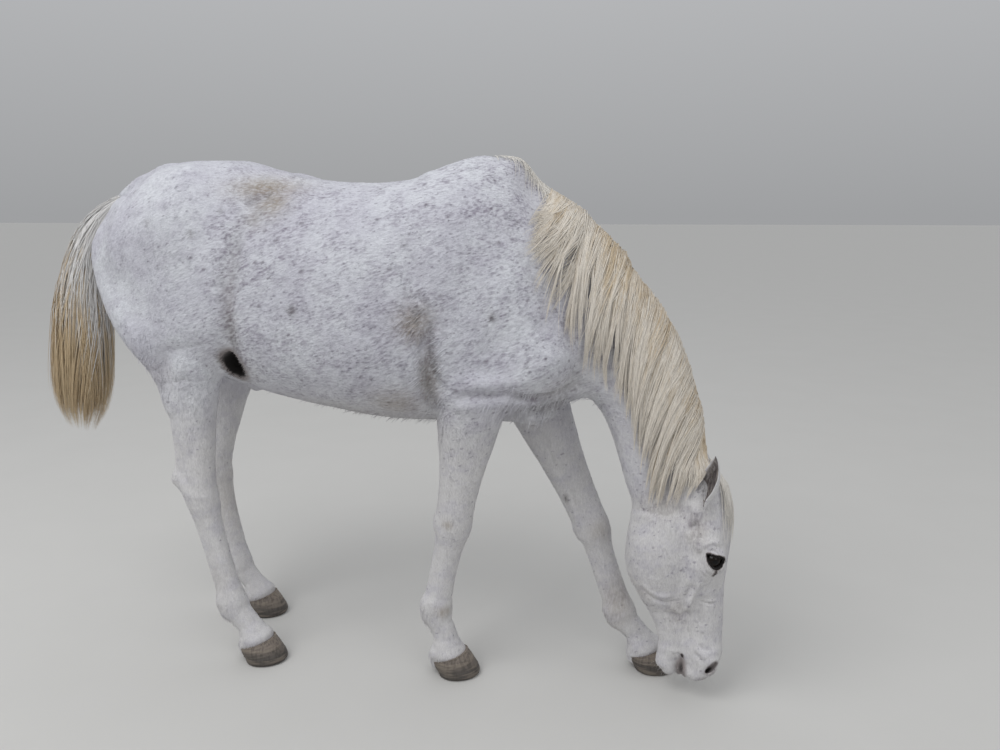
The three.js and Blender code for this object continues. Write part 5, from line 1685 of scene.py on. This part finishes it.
def eye_material():
    s = Shader("eye_wet")
    cloud = s.noise(s.place, 300, 3)
    iris = s.rescale(s.mask("iris"), 0.2, 0.7)
    brown = s.blend(s.rescale(cloud, 0.4, 0.6), paint("#0e0906"), paint("#170e08"))
    base = s.blend(iris, paint("#0d0a09"), brown)
    base = s.blend(s.rescale(s.mask("pupil"), 0.4, 0.6), base, paint("#050506"))
    return s.dressed(base, Roughness=0.05, Specular_IOR_Level=0.22)


def floor_material():
    s = Shader("pale_floor")
    mottled = s.blend(s.noise(s.place, 3, 4), paint("#c6c5c2"), paint("#cac9c6"))
    return s.dressed(mottled, Roughness=0.9)


# ---------------------------------------------------------------- the skin with its ears
def whole_skin(mesh, material):
    points = mesh_points(mesh)
    cup = np.zeros(len(points))
    faces = [tuple(p.vertices) for p in mesh.polygons]
    count = len(points)
    shells = [points]
    for side in SIDES:
        leaf, quads, inside = ear_shell(side)
        shells.append(leaf)
        cup = np.concatenate([cup, inside])
        faces += [tuple(q) for q in quads + count]
        count += len(leaf)
    points = np.concatenate(shells)
    whole = bpy.data.meshes.new("skin")
    whole.from_pydata(in_metres(points).tolist(), [], faces)
    shade_smooth(whole)
    whole.update()
    set_masks(whole, markings(points, cup))
    return add_object("skin", whole, material)


skin_coat = coat_material("short_coat", bumpy=True)
tuft_coat = coat_material("coat_tufts", bumpy=False)
skin = whole_skin(skin_mesh, skin_coat)
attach(skin, "root")
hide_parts("torso", "neck", "head", "ear_right", "ear_left", *LEGS)


# ---------------------------------------------------------------- tufts of the short coat
def scattered(mesh, count, rng, weight):
    """Random places on a mesh, thicker where the weight is larger, with the normals there."""
    mesh.calc_loop_triangles()
    corners = np.empty(len(mesh.loop_triangles) * 3, np.int32)
    mesh.loop_triangles.foreach_get("vertices", corners)
    corners = corners.reshape(-1, 3)
    points, normals = mesh_points(mesh), mesh_normals(mesh)
    a, b, c = points[corners[:, 0]], points[corners[:, 1]], points[corners[:, 2]]
    area = 0.5 * np.linalg.norm(np.cross(b - a, c - a), axis=1) * weight((a + b + c) / 3)
    pick = rng.choice(len(area), count, p=area / area.sum())
    u, v = rng.uniform(size=(2, count, 1))
    over = u + v > 1
    u, v = np.where(over, 1 - u, u), np.where(over, 1 - v, v)
    place = a[pick] + (b - a)[pick] * u + (c - a)[pick] * v
    n = normals[corners[pick]]
    return place, unit(n[:, 0] * (1 - u - v) + n[:, 1] * u + n[:, 2] * v)


def coat_weight(points):
    """Tufts stand closer on the head and the legs, where they are smaller."""
    head, _, leg = regions(points)
    eye = blobs(points, [[eye_frame(side)[0], [26, 26, 26], 1] for side in SIDES])
    return (1 + 1.6 * head + 1.0 * leg) * (1 - np.clip(1.6 * eye, 0, 1))


COAT_PIECES = 4
TUFTS = 40000  # in each piece of the short coat


def short_coat():
    rng = np.random.default_rng(17)
    made = []
    for number in range(COAT_PIECES):
        roots, normals = scattered(skin_mesh, TUFTS, rng, coat_weight)
        lie = lie_of_coat(roots, normals)
        lie = unit(lie + np.cross(normals, lie) * rng.normal(0, 0.22, (TUFTS, 1)))
        head, _, leg = regions(roots)
        small = 1 - 0.5 * head - 0.35 * leg
        length = rng.uniform(10, 20, TUFTS) * small
        width = rng.uniform(1.6, 3.4, TUFTS) * small
        rise = rng.uniform(0.4, 1.1, TUFTS) * small
        made.append(tuft_piece(f"coat_{number}", roots, normals, lie, length, width, rise, tuft_coat))
    return made


for piece in short_coat():
    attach(piece, "root")


# ---------------------------------------------------------------- long hair
mane_hair = hair_material("mane_hair", "#ded7cc", "#c9b79b", "#a38e74")
forelock_hair = hair_material("forelock_hair", "#e0dcd5", "#d2c3a8", "#b4a184")
tail_hair = hair_material("tail_hair", "#dcdbda", "#c8b391", "#a88e6c")


def hair_piece(name, strands, width, material, node):
    """A piece of long hair instead of a node's plain locks."""
    made = strand_piece(name, strands, width, material)
    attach(made, "root")
    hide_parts(node)


for number in range(2):
    mane_locks = mane_strands(count=4100, clumps=58, steps=9, seed=41 + number)
    hair_piece(f"mane_{number}", mane_locks, (0.7, 1.7), mane_hair, "mane")
    tail_locks = tail_strands(count=2700, clumps=74, steps=11, seed=61 + number)
    hair_piece(f"tail_{number}", tail_locks, (0.9, 2.1), tail_hair, "tail")
wither_hair = wither_strands(count=300, steps=7, seed=12)
hair_piece("mane_withers", wither_hair, (0.4, 0.9), forelock_hair, "mane")
forelock = forelock_strands(count=560, steps=9, seed=5)
hair_piece("forelock_strands", forelock, (0.4, 0.95), forelock_hair, "forelock")


# ---------------------------------------------------------------- shaggy hair, ear hair, whiskers and lashes
SHAGGY = [
    *both([[[140, 225, 1060], [30, 60, 70], 1.0], [[158, 215, 930], [26, 60, 110], 1.6]]),  # behind the elbow
    *both([[[440, 140, 850], [110, 80, 40], 1.0], [[-30, 120, 780], [260, 120, 30], 0.12]]),  # breast
    *both([[[-660, 190, 930], [60, 60, 60], 0.2]]),
    *head_blobs([[[-226, 20, 240], [26, 50, 90], 0.3], [[-130, 20, 570], [30, 36, 26], 0.6]]),  # jaw and chin
    *[[along(leg["fetlock"], leg["coronet"], 0.1, 46), [30, 34, 44], 1.6] for leg in LEGS.values()],
    *[[[leg["coronet"][0], leg["coronet"][1], 64], [80, 70, 16], 1.6] for leg in LEGS.values()],
]


def shaggy_strands(count, steps, seed):
    """Longer hair of the coat where it hangs: elbows, breast, belly, jaw, fetlocks and coronets."""
    rng = np.random.default_rng(seed)
    roots, normals = scattered(skin_mesh, count, rng, lambda p: np.maximum(blobs(p, SHAGGY), 1e-5))
    lie = lie_of_coat(roots, normals)
    droop = np.array([0, 0, -1.0])
    small = (1 - 0.5 * ramp(roots[:, 2], 420, 200)) * (1 - 0.45 * regions(roots)[0])
    length = rng.uniform(12, 34, count) * small
    curl = noise3(roots, 60, 9)[:, None]
    t = np.linspace(0, 1, steps)[None, :, None]
    way = lie[:, None] + 0.5 * t * droop + 0.4 * curl[..., None] * t * np.cross(lie, normals)[:, None]
    rise = normals[:, None] * (0.2 * t * (1.2 - t))
    path = roots[:, None] + (way * t + rise) * length[:, None, None]
    out = np.repeat(unit(normals + [0, 0, 0.7])[:, None], steps, axis=1)
    masks = markings(roots)
    masks["bare"] = 0.3 * masks["bare"]
    masks["shade"] = 0.8 * masks["shade"]
    masks["stain_and_fold_shade"] = np.minimum(1.3 * masks["stain_and_fold_shade"], 1)
    return path, out, unwrap(roots), masks


def ear_strands(count, steps, seed):
    """Soft hair that fills the cups of the ears."""
    rng = np.random.default_rng(seed)
    paths, outs = [], []
    for side in SIDES:
        _, axis, opening, across = ear_frame(side)
        for _ in range(count):
            share, edge = rng.uniform(0.04, 0.72), rng.choice([-1, 1]) * rng.uniform(0.25, 0.98)
            root = ear_point(side, share, edge, 1)
            way = 0.9 * axis + 0.35 * opening - 0.5 * np.sign(edge) * across * rng.uniform(0.2, 1)
            t = np.linspace(0, 1, steps)[:, None]
            paths.append(root + unit(way) * t * rng.uniform(14, 30) + opening * 3 * t * (1 - t))
            outs.append(np.tile(opening, (steps, 1)))
    paths = np.array(paths)
    masks = markings(paths[:, 0])
    masks["stain_and_fold_shade"] = rng.uniform(0.5, 1.0, len(paths))
    masks["shade"] = rng.uniform(0.2, 0.8, len(paths))
    bake = np.column_stack([np.linspace(0.02, 0.98, len(paths)), rng.uniform(0.02, 0.98, len(paths))])
    return paths, np.array(outs), bake, masks


WHISKER_SPOTS = [
    [[-118, 18, 572], [26, 26, 22], 1],  # chin
    [[-40, 34, 560], [34, 22, 24], 0.8],  # upper lip
    [[2, 60, 224], [16, 20, 10], 0.25],  # under the eye
]


def whisker_strands(count, steps, seed):
    """Long thin whiskers of the lips and chin."""
    rng = np.random.default_rng(seed)
    spots = head_blobs(WHISKER_SPOTS)
    roots, normals = scattered(skin_mesh, count, rng, lambda p: np.maximum(blobs(p, spots), 1e-7))
    t = np.linspace(0, 1, steps)[None, :, None]
    length = rng.uniform(14, 34, (count, 1, 1))
    path = roots[:, None] + (normals[:, None] * t + np.array([0.1, 0, -0.45]) * t**2) * length
    out = np.tile(np.array([1.0, 0, 0]), (count, steps, 1))
    return path, out, unwrap(roots), markings(roots)


def lash_strands(count, steps, seed):
    """Lashes of the upper lids, which hang over the eyes."""
    rng = np.random.default_rng(seed)
    paths, outs = [], []
    for side in SIDES:
        centre, long, up, outward = eye_frame(side)
        for share in rng.uniform(-0.75, 0.9, count):
            a = share * LID_HALF
            b = LID_UPPER * lid_bow(a)
            c = math.sqrt(max((EYEBALL + 2.5) ** 2 - a * a - (b + EYE_DROP) ** 2, 80))
            root = centre + a * long + b * up + c * outward
            t = np.linspace(0, 1, steps)[:, None]
            way = outward * 0.9 + up * rng.uniform(-0.1, 0.5) + long * 0.3 * share
            paths.append(root + (unit(way) * t - up * 0.35 * t**2) * rng.uniform(9, 16))
            outs.append(np.tile(up, (steps, 1)))
    paths = np.array(paths)
    masks = markings(paths[:, 0])
    masks["bare"] = np.ones(len(paths))
    bake = np.column_stack([np.linspace(0.02, 0.98, len(paths)), np.full(len(paths), 0.5)])
    return paths, np.array(outs), bake, masks


def coat_hair(name, strands, width):
    """A piece of the coat's longer hair."""
    made = strand_piece(name, strands, width, tuft_coat)
    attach(made, "root")


coat_hair("shaggy_hair", shaggy_strands(count=3600, steps=6, seed=23), (0.4, 1.1))
coat_hair("ear_hair", ear_strands(count=130, steps=5, seed=24), (0.3, 0.7))
coat_hair("whiskers", whisker_strands(count=110, steps=6, seed=25), (0.22, 0.4))
coat_hair("lashes", lash_strands(count=24, steps=5, seed=26), (0.18, 0.34))


# ---------------------------------------------------------------- eyes, lids and hooves
def eye_piece(side, material):
    """The eyeball: an iris with a long level pupil behind a bulging cornea."""
    centre, long, up, outward = eye_frame(side)
    centre = centre - EYE_DROP * up
    made = bmesh.new()
    bmesh.ops.create_uvsphere(made, u_segments=48, v_segments=32, radius=1)
    ball = np.array([v.co for v in made.verts])
    facing = ball[:, 2]
    bulge = 1 + 0.045 * ramp(facing, 0.55, 0.9)
    directions = np.stack([long, up, outward])
    spread = (ball * (EYEBALL - 0.4) * bulge[:, None]) @ directions
    for v, place in zip(made.verts, spread + centre):
        v.co = to_metres(place)
    mesh = bpy.data.meshes.new("eyeball")
    bmesh.ops.recalc_face_normals(made, faces=made.faces[:])
    made.to_mesh(mesh)
    made.free()
    shade_smooth(mesh)
    pupil = ramp(np.hypot(ball[:, 0] / 0.42, ball[:, 1] / 0.2), 1.1, 0.9) * (facing > 0)
    set_masks(mesh, {"iris": ramp(facing, 0.6, 0.75), "pupil": pupil})
    return add_object("eyeball_right" if side == RIGHT else "eyeball_left", mesh, material)


def tube_points(path, radius, sides):
    """Points and quads of a tube along a path, with the radius of each step."""
    path = np.asarray(path, float)
    ahead = unit(np.gradient(path, axis=0))
    first = unit(np.cross(ahead, [0.3, 0.2, 0.9]))
    second = np.cross(ahead, first)
    turn = np.linspace(0, math.tau, sides, endpoint=False)
    ring = first[:, None] * np.cos(turn)[None, :, None] + second[:, None] * np.sin(turn)[None, :, None]
    points = (path[:, None] + ring * np.asarray(radius)[:, None, None]).reshape(-1, 3)
    return points, ring_quads(len(path), sides)


def lid_rims(material):
    """The wet dark edges of the lids, which lie on the eyeball round the opening."""
    shells, faces, count = [], [], 0
    for side in SIDES:
        centre, long, up, outward = eye_frame(side)
        for height, radius in [(LID_UPPER, 2.2), (-LID_LOWER, 1.6)]:
            a = np.linspace(-LID_HALF, LID_HALF, 25)
            b = height * lid_bow(a)
            c = np.sqrt(np.maximum((EYEBALL + 1.2) ** 2 - a**2 - (b + EYE_DROP) ** 2, 60))
            path = centre + a[:, None] * long + b[:, None] * up + c[:, None] * outward
            taper = 0.45 + 0.55 * np.sin(np.linspace(0.1, 3.04, 25))
            points, quads = tube_points(path, radius * taper, sides=10)
            shells.append(points)
            faces.append(quads + count)
            count += len(points)
    points = np.concatenate(shells)
    mesh = new_mesh("lids", points, faces)
    masks = markings(points)
    masks["bare"] = np.ones(len(points))
    set_masks(mesh, masks)
    return add_object("lids", mesh, material)


wet = eye_material()
for side_of_head in SIDES:
    eye = eye_piece(side_of_head, wet)
    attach(eye, "root")
    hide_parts("eye_right" if side_of_head == RIGHT else "eye_left")
lids = lid_rims(skin_coat)
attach(lids, "root")

CORONET_SLOPE = 0.34
HOOF_LEVELS = [[0, 31, 62, 57], [0.1, 31, 66, 61], [0.55, 17, 63, 58], [1, 3, 56, 52]]


def hoof_piece(name, coronet, material):
    """A hoof: a flaring wall with growth rings, rounded at the ground, with a rim under the hair line."""
    x0, y0, z0 = coronet
    rows, sides = 30, 64
    turn = -math.tau * np.arange(sides) / sides
    heel = np.where(np.cos(turn) < 0, mix(1.0, 0.9, ramp(-np.cos(turn), 0, 0.35)), 1.0)
    points = []
    for t in np.linspace(0, 1, rows):
        forward, long, wide = profile(HOOF_LEVELS)(t)
        growth = 0.5 * math.sin(t * 46) * ramp(t, 0.1, 0.3)
        ring = growth + 0.9 * ramp(t, 0.93, 1.0) - 3.0 * ramp(t, 0.05, 0.0)
        x = x0 + forward + (long + ring) * heel * np.cos(turn)
        y = y0 + (wide + ring) * np.sin(turn) * (1 - 0.08 * np.cos(turn))
        top = z0 - 14 + CORONET_SLOPE * (x - x0 + 4) + 1.5
        points.append(np.column_stack([x, y, t * top]))
    points = np.concatenate(points)
    quads = ring_quads(rows, sides)[:, [0, 3, 2, 1]].tolist()
    mesh = bpy.data.meshes.new(name)
    caps = [list(range(sides)), list(range(len(points) - 1, len(points) - 1 - sides, -1))]
    mesh.from_pydata(in_metres(points).tolist(), [], quads + caps)
    smooth = np.ones(len(mesh.polygons), bool)
    smooth[-2:] = False
    mesh.polygons.foreach_set("use_smooth", smooth)
    return add_object(name, mesh, material)


horn = horn_material()
for leg_name, leg in LEGS.items():
    node = leg_name.replace("fore_leg", "hoof_fore").replace("hind_leg", "hoof_hind")
    hoof = hoof_piece(node.replace("hoof", "horn"), leg["coronet"], horn)
    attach(hoof, "root")
    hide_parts(node)


# ---------------------------------------------------------------- floor, light and camera
def plane(name, size, material):
    mesh = bpy.data.meshes.new(name)
    half = size / 2
    corners = [(-half, -half, 0), (half, -half, 0), (half, half, 0), (-half, half, 0)]
    mesh.from_pydata(corners, [], [(0, 1, 2, 3)])
    return add_object(name, mesh, material)


floor = plane("floor", 240, floor_material())


def soft_light(name, place, target, power, size):
    light = bpy.data.lights.new(name, "AREA")
    light.energy = power
    light.size = size
    made = bpy.data.objects.new(name, light)
    bpy.context.scene.collection.objects.link(made)
    made.location = place
    made.rotation_euler = (Vector(target) - Vector(place)).to_track_quat("-Z", "Y").to_euler()


BODY_MIDDLE = (0.0, 0.0, 0.9)
soft_light("overhead", (-2.0, -3.2, 5.6), BODY_MIDDLE, power=160, size=4.0)
soft_light("side", (4.5, -4.0, 3.0), BODY_MIDDLE, power=25, size=3.0)
world = bpy.data.worlds.new("studio")
world.use_nodes = True
sky = world.node_tree
way_up = sky.nodes.new("ShaderNodeSeparateXYZ")
sky.links.new(sky.nodes.new("ShaderNodeTexCoord").outputs["Generated"], way_up.inputs[0])
glow = sky.nodes.new("ShaderNodeMapRange")
sky.links.new(way_up.outputs[2], glow.inputs[0])
glow.inputs["To Min"].default_value = 0.36
glow.inputs["To Max"].default_value = 0.85
sky.links.new(glow.outputs[0], sky.nodes["Background"].inputs["Strength"])
sky.nodes["Background"].inputs["Color"].default_value = (0.96, 0.975, 1.0, 1)
bpy.context.scene.world = world
bpy.context.scene.view_settings.view_transform = "Standard"

CAMERA_PLACE = (0.918, -2.218, 1.35)
CAMERA_YAW = math.radians(12.9)
CAMERA_PITCH = math.radians(11.187)
FOCAL = 0.809  # of the picture's width
SENSOR = 36.0


def photo_camera():
    lens = bpy.data.cameras.new("camera")
    lens.sensor_width = SENSOR
    lens.lens = FOCAL * SENSOR
    made = bpy.data.objects.new("camera", lens)
    bpy.context.scene.collection.objects.link(made)
    right = Vector((math.cos(CAMERA_YAW), math.sin(CAMERA_YAW), 0))
    away = Vector((-math.sin(CAMERA_YAW), math.cos(CAMERA_YAW), 0))
    forward = away * math.cos(CAMERA_PITCH) - Vector((0, 0, math.sin(CAMERA_PITCH)))
    up = right.cross(forward)
    made.rotation_euler = Matrix((right, up, -forward)).transposed().to_euler()
    made.location = CAMERA_PLACE
    bpy.context.scene.camera = made


photo_camera()
